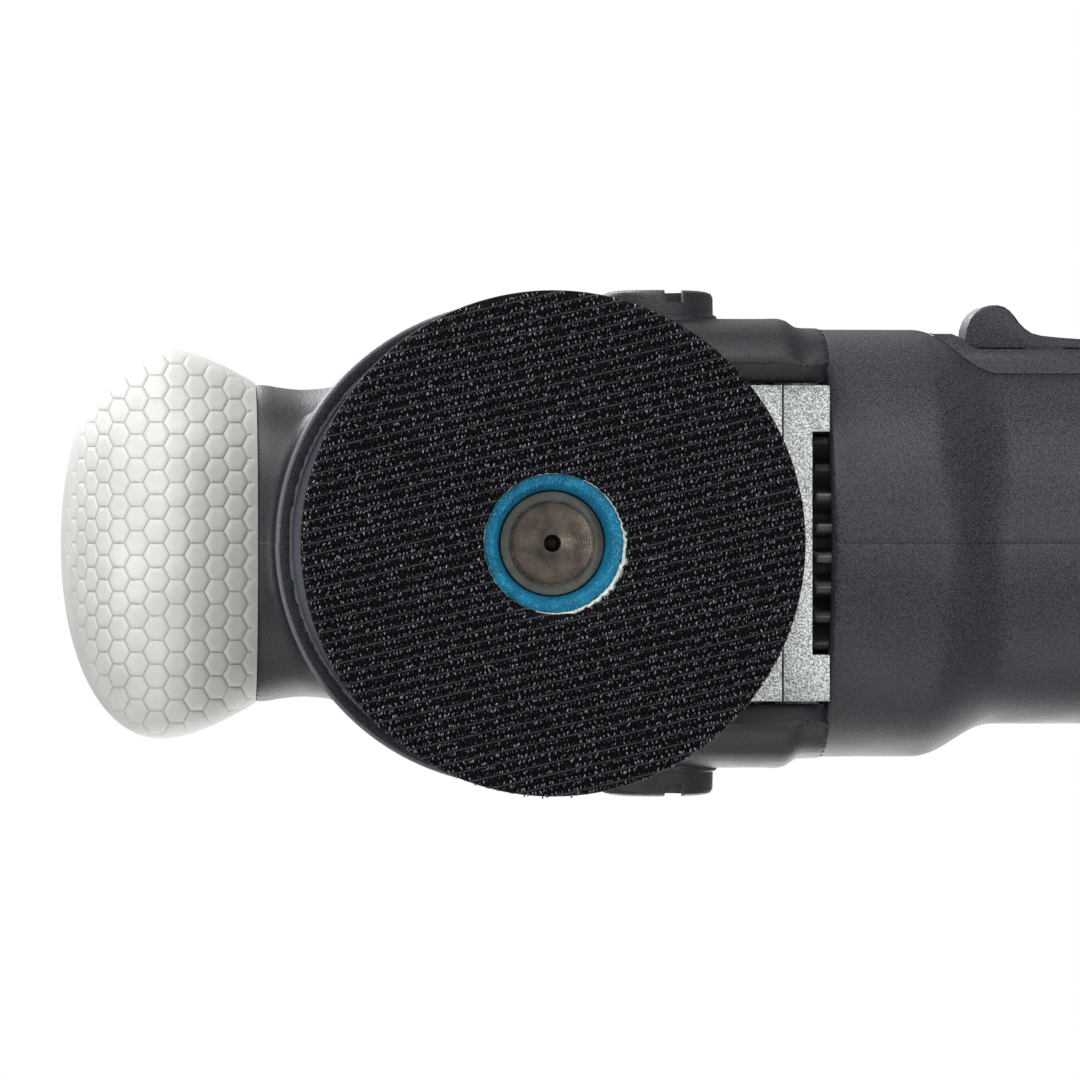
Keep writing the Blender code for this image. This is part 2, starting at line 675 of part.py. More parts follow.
# ---- Spindle, eccentric and pad ---------------------------------------------------------------
def make_spindle(parent):
    turned(
        "main_spindle",
        [(0, 91.4), (3.6, 91.4), (SPINDLE_TIP_RADIUS, 91.0), (SPINDLE_TIP_RADIUS, 67.5),
         (SPINDLE_RADIUS, 66.5), (SPINDLE_RADIUS, 45), (5, 44.6), (5, 40.0), (0, 40.0)],
        "steel", parent=parent,
    )
    make_crown_gear(parent)

    weight = rod(
        "counterweight", HUB_PLATE_RADIUS, ECCENTRIC_TOP - 0.2, HUB_PLATE_TOP, "dark_steel",
        parent=parent, steps=32,
    )
    eccentric = rod(
        "eccentric_boss", ECCENTRIC_RADIUS, ECCENTRIC_LOW, ECCENTRIC_TOP + 1,
        at=(ORBIT, 0, 0), parent=parent, steps=32,
    )
    lobe_points = [
        (LOBE_RADIUS * math.cos(math.radians(angle)), LOBE_RADIUS * math.sin(math.radians(angle)))
        for angle in range(110, 251, 10)
    ]
    lobe = extruded("lobe", lobe_points + [(0, -10), (0, 10)], LOBE_LOW, LOBE_TOP, parent=parent)
    pocket = turned(
        "bearing_pocket",
        [(0, 39.4), (ORBIT_BEARING_OUTER + GAP, 39.4), (ORBIT_BEARING_OUTER + GAP, 22.9), (15.2, 22.9),
         (15.2, 21.9), (ORBIT_BEARING_OUTER + GAP, 21.9), (ORBIT_BEARING_OUTER + GAP, 20), (0, 20)],
        at=(ORBIT, 0, 0), parent=parent, steps=28,
    )
    bore = rod("hub_bore", 5.3, 38, 46, parent=parent, steps=20)
    join(weight, eccentric, lobe)
    cut(weight, pocket, bore)

    upper_low = ORBIT_BEARING_LOW + ORBIT_BEARING_HEIGHT + GAP
    for label, low in (("lower", ORBIT_BEARING_LOW), ("upper", upper_low)):
        tube(
            "orbit_bearing_" + label, ORBIT_BEARING_OUTER, ORBIT_BEARING_INNER,
            low, low + ORBIT_BEARING_HEIGHT - GAP, "steel", at=(ORBIT, 0, 0), parent=parent, steps=24,
        )
    tube("orbit_circlip", 14.9, 12.4, 22.05, 22.75, "steel", at=(ORBIT, 0, 0), parent=parent, steps=24)


def make_pad(parent):
    """The pad's own frame has the pad's axis as its Z axis."""
    orbit = turned(
        "orbit_spindle",
        [(0, 39.1), (5.2, 39.1), (5.7, 38.6), (5.7, 22.6), (7.4, 22.4), (7.4, 21.6), (10.3, 21.6),
         (10.3, INSERT_TOP + GAP), (STUD_RADIUS + GAP, INSERT_TOP + GAP), (STUD_RADIUS + GAP, 31.0),
         (0, 32.5)],
        "steel", parent=parent,
    )
    for side, label in ((-1, "left"), (1, "right")):
        middle = side * 11.5
        flat = block("spanner_flat_" + label, (-12, middle - 3, 15), (12, middle + 3, 21.4), parent=parent)
        cut(orbit, flat)
    turned(
        "pad_insert",
        [(0, STUD_TOP), (3.4, STUD_TOP), (STUD_RADIUS, STUD_TOP - 0.6), (STUD_RADIUS, INSERT_TOP),
         (INSERT_RADIUS, INSERT_TOP), (INSERT_RADIUS, INSERT_LOW), (6.3, INSERT_LOW), (6.3, INSERT_LOW - 0.4),
         (1.35, INSERT_LOW - 0.4), (1.35, INSERT_LOW + 1.4), (0, INSERT_LOW + 2.2)],
        "dark_steel", parent=parent,
    )
    turned(
        "pad_plate",
        [(PAD_RECESS_RADIUS, PLATE_HUB_TOP), (11.2, PLATE_HUB_TOP), (12.4, PLATE_TOP),
         (PLATE_RADIUS - 1, PLATE_TOP), (PLATE_RADIUS, PLATE_TOP - 1), (PLATE_RADIUS, FOAM_TOP + GAP),
         (PLATE_BOSS_RADIUS, FOAM_TOP + GAP), (PLATE_BOSS_RADIUS, PLATE_BOSS_LOW),
         (PAD_RECESS_RADIUS, PLATE_BOSS_LOW)],
        "blue_plastic", parent=parent, steps=32, ring=True,
    )
    turned(
        "pad_foam",
        [(34.0, FOAM_TOP), (36.6, 7.0), (PAD_RADIUS - 0.2, HOOK_THICKNESS + GAP),
         (10.9, HOOK_THICKNESS + GAP), (10.9, FOAM_TOP)],
        "pad_foam", parent=parent, steps=36, ring=True,
    )
    tube("hook_face", PAD_RADIUS, 10.8, 0, HOOK_THICKNESS, "hook_fabric", parent=parent, steps=36)


# ---- Motor ------------------------------------------------------------------------------------
def make_armature(parent):
    """Everything on the armature's shaft. Its own frame has the shaft as its X axis."""
    settings = {"axis": "X", "parent": parent}
    turned(
        "armature_shaft",
        [(0, 146.3), (3.6, 146.3), (SHAFT_RADIUS, 145.9), (SHAFT_RADIUS, 27.3), (3.0, 27.3), (3.0, 19.8),
         (0, 19.8)],
        "steel", **settings, steps=20,
    )
    tube("armature_core", CORE_RADIUS, BORE_RADIUS, 68, 108, "dark_steel", **settings)
    for label, low, high in (("front", 60.0, 67.7), ("rear", 108.3, 116.0)):
        # The wire bundle is round at its free end.
        if label == "front":
            outer = [(15.4, high), (15.4, low + 2.5), (12.8, low)]
        else:
            outer = [(12.8, high), (15.4, high - 2.5), (15.4, low)]
        turned(
            "armature_winding_" + label, outer + [(BORE_RADIUS + 1, low), (BORE_RADIUS + 1, high)],
            "copper", **settings, ring=True,
        )
    turned(
        "commutator",
        [(COMMUTATOR_RADIUS, 134), (COMMUTATOR_RADIUS, 121.6), (14.2, 121.4), (14.2, 119.4),
         (BORE_RADIUS, 119.4), (BORE_RADIUS, 134)],
        "copper", **settings, ring=True,
    )
    blades = toothed_outline(FAN_BLADES, 22.0, FAN_RADIUS, 0.9, 0.6, math.pi / FAN_BLADES)
    fan = extruded("cooling_fan", blades, 47.8, 57.0, "grey_plastic", plane="YZ", parent=parent)
    cut(fan, rod("fan_bore", BORE_RADIUS, 40, 60, **settings, steps=16))
    make_pinion(parent)


def brush_coil(sign):
    """Points along a compression spring behind a brush."""
    near, far, radius, turns, per_turn = 20.2, 24.6, 2.4, 2.5, 8
    points = []
    count = int(turns * per_turn)
    for index in range(count + 1):
        angle = 2 * math.pi * index / per_turn
        height = near + (far - near) * index / count
        points.append((radius * math.cos(angle), radius * math.sin(angle), sign * height))
    return points


def make_motor_statics():
    axis = {"axis": "X", "at": (0, 0, ARMATURE_Z)}
    tube("field_stack", STACK_RADIUS, CORE_RADIUS + 0.8, 70, 106, "dark_steel", **axis)
    tube("field_winding_front", 23.2, 18.4, 61.5, 69.7, "copper", **axis)
    tube("field_winding_rear", 23.2, 18.4, 106.3, 114.5, "copper", **axis)
    tube("armature_bearing_front", 14.0, BORE_RADIUS, 33.0, 41.4, "steel", **axis)
    tube("armature_bearing_rear", 11.0, BORE_RADIUS, 138.8, 145.2, "steel", **axis)
    tube("rear_bearing_boot", WEB_HOLE - GAP, 11.0 + GAP, 138.4, 145.6, "black_rubber", **axis)
    tube("spindle_bearing_lower", 15.9, SPINDLE_RADIUS + GAP, 46.7, 56.7, "steel")
    tube("spindle_bearing_upper", 11.0, SPINDLE_TIP_RADIUS + GAP, 84.0, 91.0, "steel", steps=20)

    for sign, label in ((1, "top"), (-1, "bottom")):
        def span(low, high):
            return sorted((ARMATURE_Z + sign * low, ARMATURE_Z + sign * high))

        low, high = span(13.5, 25.0)
        holder = block("brush_holder_" + label, (BRUSH_X - 4.6, -6, low), (BRUSH_X + 4.6, 6, high), "brass")
        low, high = span(12, 27)
        cut(holder, block("brush_way_" + label, (BRUSH_X - 3.4, -4.8, low), (BRUSH_X + 3.4, 4.8, high)))
        low, high = span(COMMUTATOR_RADIUS + GAP, 19.4)
        block("carbon_brush_" + label, (BRUSH_X - 3.1, -4.5, low), (BRUSH_X + 3.1, 4.5, high), "carbon")
        low, high = span(25.3, HANDLE_RADIUS - 0.1)
        rod("brush_cap_" + label, 6.0, low, high, "black_shell", at=(BRUSH_X, 0, 0), steps=20)
        curve = bpy.data.curves.new("brush_spring_" + label, "CURVE")
        curve.dimensions = "3D"
        curve.bevel_depth = 0.35 * MM
        curve.bevel_resolution = 1
        curve.use_fill_caps = True
        spline = curve.splines.new("POLY")
        places = brush_coil(sign)
        spline.points.add(len(places) - 1)
        for point, place in zip(spline.points, places):
            point.co = (*(Vector(place) * MM), 1)
        add_piece("brush_spring_" + label, curve, "steel", (BRUSH_X, 0, ARMATURE_Z))


# ---- Switch, speed dial and cord entry --------------------------------------------------------
def make_switch(parent):
    """Slider and link. Their own frame is the working frame."""
    slider = [
        (SWITCH_FRONT, -30.9), (84.0, -30.9), (84.0, -29.2), (90.0, -29.2), (90.0, -30.9),
        (SWITCH_REAR, -30.9), (SWITCH_REAR, -SWITCH_TOP), (85.4, -SWITCH_TOP), (84.0, -34.2), (81.6, -36.9),
        (80.4, -37.8), (79.5, -FIN_TOP), (78.6, -37.7), (77.4, -36.4), (SWITCH_FRONT + 0.4, -SWITCH_TOP),
    ]
    low = ARMATURE_Z - SWITCH_HALF_WIDTH
    high = ARMATURE_Z + SWITCH_HALF_WIDTH
    extruded("switch_slider", slider, low, high, "black_shell", parent=parent)
    link = [
        (84.5, -28.9), (89.5, -28.9), (89.5, -25.7), (LINK_FOOT_REAR, -25.7), (LINK_FOOT_REAR, -8),
        (LINK_FOOT_FRONT, -8), (LINK_FOOT_FRONT, -24.5), (84.5, -24.5),
    ]
    extruded(
        "switch_link", link, ARMATURE_Z - LINK_HALF_HEIGHT, ARMATURE_Z + LINK_HALF_HEIGHT,
        "grey_plastic", parent=parent,
    )


def make_controls():
    pod = [
        (-20, 58.8), (-26.6, 59.2), (-30.4, 60.6), (-32.0, 62.4), (-32.6, 64.6), (-32.6, 75.4), (-32.0, 77.6),
        (-30.4, 79.4), (-26.6, 80.8), (-20, 81.2),
    ]
    bezel = extruded("switch_bezel", pod, POD_FRONT, POD_REAR, "black_rubber", plane="YZ")
    handle = turned("handle_clearance", housing_profile(GAP), axis="X", at=(0, 0, ARMATURE_Z), steps=36)
    slot = block(
        "slider_slot", (POD_FRONT - 2, -40, ARMATURE_Z - SWITCH_HALF_WIDTH - GAP),
        (SWITCH_REAR + 3, -20, ARMATURE_Z + SWITCH_HALF_WIDTH + GAP),
    )
    cut(bezel, handle, slot)
    block("switch_module", (154.2, -13, 58), (184, 13, 77.6), "black_shell", bevel=0.8)
    block("speed_board", (176, 3.4, 79), (194, 5.0, 94.0), "board")
    turned(
        "cord_gland",
        [(5.2, GLAND_END), (6.1, HANDLE_END), (6.1, 211.2), (9, 211.2), (9, 208.8), (CORD_HOLE, 208.8),
         (CORD_HOLE, GLAND_END)],
        "black_rubber", axis="X", at=(0, 0, ARMATURE_Z), steps=20, ring=True,
    )
    block("cord_clamp", (199, -9, 74.6), (204, 9, 78), "grey_plastic", bevel=0.6)


def make_dial(parent):
    """The dial turns about its own Y axis."""
    rim = toothed_outline(18, DIAL_RADIUS - 0.5, DIAL_RADIUS, 0.9, 0.5, 0)
    extruded("speed_dial", rim, -DIAL_HALF_WIDTH, DIAL_HALF_WIDTH, "grey_plastic", plane="XZ", parent=parent)


clear_scene()
parts = new_collection("dual_action_sander")
cutters = new_collection("cutters", hidden=True)
root = empty_at("tool_frame", (-CENTRE_X, 0, 0))
spindle_axis = empty_at("spindle_axis", (0, 0, 0), root)
pad_axis = empty_at("pad_axis", (ORBIT, 0, 0), root)
armature_axis = empty_at("armature_axis", (0, 0, ARMATURE_Z), root)
slider_frame = empty_at("slider_frame", (0, 0, 0), root)
dial_axis = empty_at("dial_axis", (DIAL_X, 0, DIAL_Z), root)

make_front_grip()
make_head_covers()
make_gear_castings()
make_motor_housing()
make_spindle(spindle_axis)
make_pad(pad_axis)
make_armature(armature_axis)
make_motor_statics()
make_switch(slider_frame)
make_controls()
make_dial(dial_axis)
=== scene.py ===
import math
import random

import bmesh
import bpy
from mathutils import Matrix, Vector, noise


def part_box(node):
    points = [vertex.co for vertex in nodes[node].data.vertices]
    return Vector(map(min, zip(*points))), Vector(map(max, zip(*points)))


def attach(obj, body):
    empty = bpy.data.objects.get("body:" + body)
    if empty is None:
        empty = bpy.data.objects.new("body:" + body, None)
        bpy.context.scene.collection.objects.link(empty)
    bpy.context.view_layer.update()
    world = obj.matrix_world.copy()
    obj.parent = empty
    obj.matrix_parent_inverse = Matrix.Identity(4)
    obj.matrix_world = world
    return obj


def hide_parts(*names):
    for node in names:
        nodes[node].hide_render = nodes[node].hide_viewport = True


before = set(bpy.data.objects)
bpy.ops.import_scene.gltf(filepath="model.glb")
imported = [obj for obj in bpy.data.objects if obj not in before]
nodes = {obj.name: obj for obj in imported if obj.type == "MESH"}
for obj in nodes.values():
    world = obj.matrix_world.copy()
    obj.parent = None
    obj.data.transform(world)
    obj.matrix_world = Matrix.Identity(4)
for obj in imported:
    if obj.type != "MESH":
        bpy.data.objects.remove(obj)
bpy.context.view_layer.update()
mm = 0.001


def middleOf(node):
    low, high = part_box(node)
    return (low + high) / 2


spindleX = middleOf("main_spindle").x
padCentre = middleOf("hook_face")
padMiddle = Vector((padCentre.x, padCentre.y, 0))
xAxis, yAxis, zAxis = (1, 0, 0), (0, 1, 0), (0, 0, 1)
print("frame loaded:", len(nodes), "nodes")


# small tools
def hexColour(code):
    # sRGB hex to linear RGBA
    channels = [int(code[place:place + 2], 16) / 255 for place in (0, 2, 4)]
    linear = [c / 12.92 if c <= 0.04045 else ((c + 0.055) / 1.055) ** 2.4 for c in channels]
    return (*linear, 1)


def setInputs(node, inputs):
    # a value that is a socket is linked, any other is set
    for key, value in inputs.items():
        if isinstance(value, bpy.types.NodeSocket):
            node.id_data.links.new(value, node.inputs[key])
        else:
            node.inputs[key].default_value = value


def addNode(tree, kind, inputs=None, stops=(), **settings):
    # adds a node and returns its outputs; stops are a colour ramp's places and sRGB colours
    node = tree.nodes.new("ShaderNode" + kind)
    for key, value in settings.items():
        setattr(node, key, value)
    for index, (place, code) in enumerate(stops):
        node.color_ramp.elements[index].position = place
        node.color_ramp.elements[index].color = hexColour(code)
    setInputs(node, inputs or {})
    return node.outputs


def startMaterial(name):
    made = bpy.data.materials.new(name)
    made.use_nodes = True
    return made, made.node_tree


principled = "Principled BSDF"
tones = {"From Min": 0.3, "From Max": 0.7}     # where nearly all of a noise lies


# materials
nylonGrain = 0.28 * mm      # the real one is 0.1 to 0.2 mm, and is drawn coarser to show


def makeGrainedNylon(name, dark, light, roughness, contrast=0.2):
    # glass-filled nylon from a spark-eroded mould: near black, with a fine sparkle where the grain
    # catches light
    made, tree = startMaterial(name)
    place = addNode(tree, "TexCoord")["Object"]
    fine, cloud = [
        addNode(tree, "TexNoise", {"Vector": place, "Scale": 1 / size, "Detail": detail, "Roughness": 0.6})[0]
        for size, detail in ((nylonGrain, 2), (9 * mm, 3))
    ]
    stops = [(0.51 - contrast, dark), (0.51 + contrast, light)]
    both = addNode(tree, "Math", {0: fine, 1: cloud}, operation="ADD")[0]
    dull = {"Value": both, "From Min": 0.6, "From Max": 1.4}
    dull |= {"To Min": roughness - 0.08, "To Max": roughness + 0.1}
    setInputs(tree.nodes[principled], {
        "Base Color": addNode(tree, "ValToRGB", {"Fac": fine}, stops)[0],
        "Roughness": addNode(tree, "MapRange", dull)["Result"],
        "IOR": 1.53,
        "Normal": addNode(tree, "Bump", {"Height": fine, "Strength": 0.85, "Distance": 0.09 * mm})["Normal"],
    })
    return made


hexNet = {"pitch": 3.7 * mm, "line": 0.2 * mm, "shift": 0.5 * mm}


def netDistance(tree, place):
    # distance from the nearest hexagon's middle, out of two interleaved grids
    slope = math.sqrt(3) / 2
    half = hexNet["pitch"] / 2
    column = hexNet["pitch"] * slope
    found = []
    for shift in ((0, 0, 0), (column, half, 0)):
        moved = addNode(tree, "VectorMath", {0: place, 1: shift}, operation="SUBTRACT")[0]
        limits = {1: (column, half, 1), 2: (-column, -half, -1)}
        cell = addNode(tree, "VectorMath", {0: moved, **limits}, operation="WRAP")[0]
        away = addNode(tree, "VectorMath", {0: cell}, operation="ABSOLUTE")[0]
        slanted = addNode(tree, "VectorMath", {0: away, 1: (slope, 0.5, 0)}, operation="DOT_PRODUCT")["Value"]
        flat = addNode(tree, "SeparateXYZ", {"Vector": away})["Y"]
        found.append(addNode(tree, "Math", {0: slanted, 1: flat}, operation="MAXIMUM")[0])
    return addNode(tree, "Math", {0: found[0], 1: found[1]}, operation="MINIMUM")[0]


def makeWhiteRubber():
    # thermoplastic rubber moulded over the front grip: soft white and satin, with painted shade in the
    # grooves, which are drawn grey. The net follows the surface by its "travel" and fades at the sides.
    made, tree = startMaterial("overmouldedWhiteRubber")
    place = addNode(tree, "TexCoord")["Object"]
    travel, fade = [addNode(tree, "Attribute", attribute_name=name)["Fac"] for name in ("travel", "fade")]
    across = addNode(tree, "SeparateXYZ", {"Vector": place})["Y"]
    spot = addNode(tree, "CombineXYZ", {"X": travel, "Y": across})[0]
    half = hexNet["pitch"] / 2
    edge = {"Value": netDistance(tree, spot), "From Min": half - hexNet["line"], "From Max": half}
    line = addNode(tree, "MapRange", edge, interpolation_type="SMOOTHSTEP")["Result"]
    grooveAndPaintedShade = addNode(tree, "Math", {0: line, 1: fade}, operation="MULTIPLY")[0]
    sunk = addNode(tree, "Math", {0: 1.0, 1: grooveAndPaintedShade}, operation="SUBTRACT")[0]
    carved = addNode(tree, "Bump", {"Height": sunk, "Strength": 1.0, "Distance": 0.1 * mm})["Normal"]
    fine, cloud = [
        addNode(tree, "TexNoise", {"Vector": place, "Scale": 1 / size, "Detail": detail, "Roughness": 0.6})[0]
        for size, detail in ((0.3 * mm, 2), (7 * mm, 3))
    ]
    body = addNode(tree, "ValToRGB", {"Fac": cloud}, [(0.35, "CDD0CA"), (0.65, "D9DCD6")])[0]
    satin = {"Height": fine, "Strength": 0.25, "Distance": 0.03 * mm, "Normal": carved}
    setInputs(tree.nodes[principled], {
        # painted shade: the grooves drawn a darker grey
        "Base Color": addNode(tree, "Mix", {0: grooveAndPaintedShade, 6: body, 7: hexColour("B9BBB2")}, data_type="RGBA")[2],
        "Roughness": addNode(tree, "MapRange", {"Value": fine, "To Min": 0.46, "To Max": 0.58, **tones})[0],
        "IOR": 1.5,
        "Subsurface Weight": 0.06,
        "Subsurface Radius": (0.002, 0.002, 0.002),
        "Subsurface Scale": 1.0,
        "Normal": addNode(tree, "Bump", satin)["Normal"],
    })
    return made


def makeCastingPaint():
    # textured silver paint over an aluminium die casting: pebbled, with metal flakes in it. The
    # pebbles are 0.2 to 0.4 mm.
    made, tree = startMaterial("texturedSilverPaint")
    place = addNode(tree, "TexCoord")["Object"]
    pebbles = {"Vector": place, "Scale": 1 / (0.27 * mm), "Detail": 2, "Roughness": 0.6}
    pebble = addNode(tree, "TexNoise", pebbles)["Fac"]
    setInputs(tree.nodes[principled], {
        "Base Color": addNode(tree, "ValToRGB", {"Fac": pebble}, [(0.38, "7A7E80"), (0.62, "F4F7F7")])[0],
        "Metallic": 0.25,
        "Roughness": addNode(tree, "MapRange", {"Value": pebble, "To Min": 0.5, "To Max": 0.34, **tones})[0],
        "Normal": addNode(tree, "Bump", {"Height": pebble, "Strength": 1.0, "Distance": 0.1 * mm})["Normal"],
    })
    return made


hookWeave = {"tilt": math.radians(13), "row": 1.65 * mm, "warp": 0.85 * mm}


def makeHookWeave():
    # woven nylon ground of the hook tape: near black, with one lighter weft thread along every row,
    # broken by the warp
    made, tree = startMaterial("wovenNylonGround")
    place = addNode(tree, "TexCoord")["Object"]
    place = addNode(tree, "Mapping", {"Vector": place, "Location": -padCentre})["Vector"]
    place = addNode(tree, "Mapping", {"Vector": place, "Rotation": (0, 0, hookWeave["tilt"])})["Vector"]
    split = addNode(tree, "SeparateXYZ", {"Vector": place})
    lints = {"Vector": place, "Scale": 1 / (0.3 * mm), "Detail": 3, "Roughness": 0.6}
    lint = addNode(tree, "TexNoise", lints)["Fac"]
    waves = []
    for axis, pitch in (("Y", hookWeave["row"]), ("X", hookWeave["warp"])):
        turned = addNode(tree, "Math", {0: split[axis], 1: 2 * math.pi / pitch}, operation="MULTIPLY")[0]
        shifted = addNode(tree, "Math", {0: lint, 1: 1.6, 2: turned}, operation="MULTIPLY_ADD")[0]
        waves.append(addNode(tree, "Math", {0: shifted}, operation="SINE")[0])
    weft = addNode(tree, "MapRange", {"Value": waves[0], "From Min": 0.72, "From Max": 0.98})[0]
    faint = {"Value": waves[1], "From Min": 0.3, "From Max": 0.95, "To Max": 0.14}
    warp = addNode(tree, "MapRange", faint)[0]
    level = addNode(tree, "Math", {0: weft, 1: warp}, operation="MAXIMUM")[0]
    height = addNode(tree, "Math", {0: level, 1: lint}, operation="ADD")[0]
    setInputs(tree.nodes[principled], {
        "Base Color": addNode(tree, "ValToRGB", {"Fac": level}, [(0.05, "040406"), (0.95, "46464F")])[0],
        "Roughness": 0.7,
        "IOR": 1.53,
        "Specular IOR Level": 0.1,
        "Normal": addNode(tree, "Bump", {"Height": height, "Strength": 0.8, "Distance": 0.25 * mm})["Normal"],
    })
    return made


def makeHookTips():
    # nylon monofilament hooks, heat-cut at the top: black in the pile, with painted glints: their tops drawn
    # pale
    made, tree = startMaterial("nylonHooksPaintedGlints")
    place = addNode(tree, "TexCoord")["Object"]
    height = addNode(tree, "SeparateXYZ", {"Vector": place})["Z"]
    paintedGlintTop = addNode(tree, "MapRange", {"Value": height, "From Min": 0.4 * mm, "From Max": 0.04 * mm})[0]
    lots = {"Vector": place, "Scale": 1 / (0.5 * mm), "Detail": 2, "Roughness": 0.6}
    lot = addNode(tree, "TexNoise", lots)["Fac"]
    # painted glints: the hooks' tops drawn pale, some more than others
    level = addNode(tree, "Math", {0: paintedGlintTop, 1: lot}, operation="MULTIPLY")[0]
    setInputs(tree.nodes[principled], {
        "Base Color": addNode(tree, "ValToRGB", {"Fac": level}, [(0.14, "060608"), (0.5, "9494A2")])[0],
        "Roughness": addNode(tree, "MapRange", {"Value": lot, "To Min": 0.45, "To Max": 0.28, **tones})[0],
        "IOR": 1.53,
    })
    return made


def makeBluePlate():
    # blue ABS of the backing plate, its cut edge slightly rough from the lathe
    made, tree = startMaterial("turnedBlueAbs")
    place = addNode(tree, "TexCoord")["Object"]
    place = addNode(tree, "Mapping", {"Vector": place, "Location": -padCentre})["Vector"]
    fleck, cloud = [
        addNode(tree, "TexNoise", {"Vector": place, "Scale": 1 / size, "Detail": detail, "Roughness": 0.6})[0]
        for size, detail in ((0.26 * mm, 4), (3.5 * mm, 3))
    ]
    base = addNode(tree, "ValToRGB", {"Fac": cloud}, [(0.35, "03486B"), (0.65, "0A7CA2")])[0]
    flecked = addNode(tree, "ValToRGB", {"Fac": fleck}, [(0.34, "58D4EA"), (0.47, "045C82")])[0]
    setInputs(tree.nodes[principled], {
        "Base Color": addNode(tree, "Mix", {0: 0.38, 6: base, 7: flecked}, data_type="RGBA")[2],
        "Roughness": addNode(tree, "MapRange", {"Value": fleck, "To Min": 0.3, "To Max": 0.55, **tones})[0],
        "IOR": 1.54,
        "Specular IOR Level": 0.2,
        "Normal": addNode(tree, "Bump", {"Height": fleck, "Strength": 1.0, "Distance": 0.1 * mm})["Normal"],
    })
    return made


latheRings = 0.35 * mm      # the real ones are about 0.1 mm apart, and are drawn coarser to show


def makeFacedSteel():
    # steel faced on a lathe and left bare: brownish grey, dull, with fine rings round its centre; an
    # olive, hardly metallic film on the flange round the disc
    made, tree = startMaterial("facedSteel")
    place = addNode(tree, "TexCoord")["Object"]
    place = addNode(tree, "Mapping", {"Vector": place, "Location": -padCentre})["Vector"]
    split = addNode(tree, "SeparateXYZ", {"Vector": place})
    flat = addNode(tree, "CombineXYZ", {"X": split["X"], "Y": split["Y"]})[0]
    reach = addNode(tree, "VectorMath", {0: flat}, operation="LENGTH")["Value"]
    wobble, fine, blotch = [
        addNode(tree, "TexNoise", {"Vector": place, "Scale": 1 / size, "Detail": detail, "Roughness": 0.6})[0]
        for size, detail in ((1.6 * mm, 2), (0.25 * mm, 3), (2.8 * mm, 4))
    ]
    shifted = addNode(tree, "Math", {0: wobble, 1: 0.25 * mm, 2: reach}, operation="MULTIPLY_ADD")[0]
    turned = addNode(tree, "Math", {0: shifted, 1: 2 * math.pi / latheRings}, operation="MULTIPLY")[0]
    rings = addNode(tree, "Math", {0: turned}, operation="SINE")[0]
    face = addNode(tree, "ValToRGB", {"Fac": blotch}, [(0.35, "4E4842"), (0.65, "6E655C")])[0]
    olive = addNode(tree, "ValToRGB", {"Fac": blotch}, [(0.35, "50504A"), (0.65, "63635B")])[0]
    flange = addNode(tree, "MapRange", {"Value": reach, "From Min": 6.3 * mm, "From Max": 6.4 * mm})[0]
    ridged = addNode(tree, "Bump", {"Height": rings, "Strength": 0.35, "Distance": 0.02 * mm})["Normal"]
    dust = {"Height": fine, "Strength": 0.4, "Distance": 0.03 * mm, "Normal": ridged}
    setInputs(tree.nodes[principled], {
        "Base Color": addNode(tree, "Mix", {0: flange, 6: face, 7: olive}, data_type="RGBA")[2],
        "Metallic": addNode(tree, "MapRange", {"Value": flange, "To Min": 1.0, "To Max": 0.1})[0],
        "Roughness": addNode(tree, "MapRange", {"Value": fine, "To Min": 0.36, "To Max": 0.56, **tones})[0],
        "Normal": addNode(tree, "Bump", dust)["Normal"],
    })
    return made


def makeBareSteel(name, dark, light, roughness):
    # ground or rolled steel: cool grey with faint smears
    made, tree = startMaterial(name)
    place = addNode(tree, "TexCoord")["Object"]
    smear, fine = [
        addNode(tree, "TexNoise", {"Vector": place, "Scale": 1 / size, "Detail": detail, "Roughness": 0.6})[0]
        for size, detail in ((2.2 * mm, 5), (0.35 * mm, 2))
    ]
    dull = {"Value": fine, "To Min": roughness - 0.06, "To Max": roughness + 0.08, **tones}
    setInputs(tree.nodes[principled], {
        "Base Color": addNode(tree, "ValToRGB", {"Fac": smear}, [(0.35, dark), (0.65, light)])[0],
        "Metallic": 1.0,
        "Roughness": addNode(tree, "MapRange", dull)["Result"],
        "Normal": addNode(tree, "Bump", {"Height": fine, "Strength": 0.15, "Distance": 0.02 * mm})["Normal"],
    })
    return made


def makeWoundCopper():
    # enamelled magnet wire, 0.7 mm thick: warm, glossy, in fine turns round the motor axis
    made, tree = startMaterial("enamelledCopperWire")
    place = addNode(tree, "TexCoord")["Object"]
    along = addNode(tree, "SeparateXYZ", {"Vector": place})["X"]
    turned = addNode(tree, "Math", {0: along, 1: 2 * math.pi / (0.7 * mm)}, operation="MULTIPLY")[0]
    turns = addNode(tree, "Math", {0: turned}, operation="SINE")[0]
    lots = {"Vector": place, "Scale": 1 / (1.5 * mm), "Detail": 2, "Roughness": 0.6}
    lot = addNode(tree, "TexNoise", lots)["Fac"]
    setInputs(tree.nodes[principled], {
        "Base Color": addNode(tree, "ValToRGB", {"Fac": lot}, [(0.35, "8A4A24"), (0.65, "B8703C")])[0],
        "Metallic": 1.0,
        "Roughness": 0.3,
        "Normal": addNode(tree, "Bump", {"Height": turns, "Strength": 0.7, "Distance": 0.15 * mm})["Normal"],
    })
    return made


def makeGlue():
    # torn rest of contact adhesive and foam skin: chalky, off white, in crumbs of half a millimetre
    made, tree = startMaterial("driedContactGlue")
    place = addNode(tree, "TexCoord")["Object"]
    crumbs = {"Vector": place, "Scale": 1 / (0.5 * mm), "Detail": 4, "Roughness": 0.6}
    crumb = addNode(tree, "TexNoise", crumbs)["Fac"]
    setInputs(tree.nodes[principled], {
        "Base Color": addNode(tree, "ValToRGB", {"Fac": crumb}, [(0.35, "8E968C"), (0.65, "DDE2D8")])[0],
        "Roughness": 0.85,
        "IOR": 1.48,
        "Normal": addNode(tree, "Bump", {"Height": crumb, "Strength": 0.9, "Distance": 0.15 * mm})["Normal"],
    })
    return made


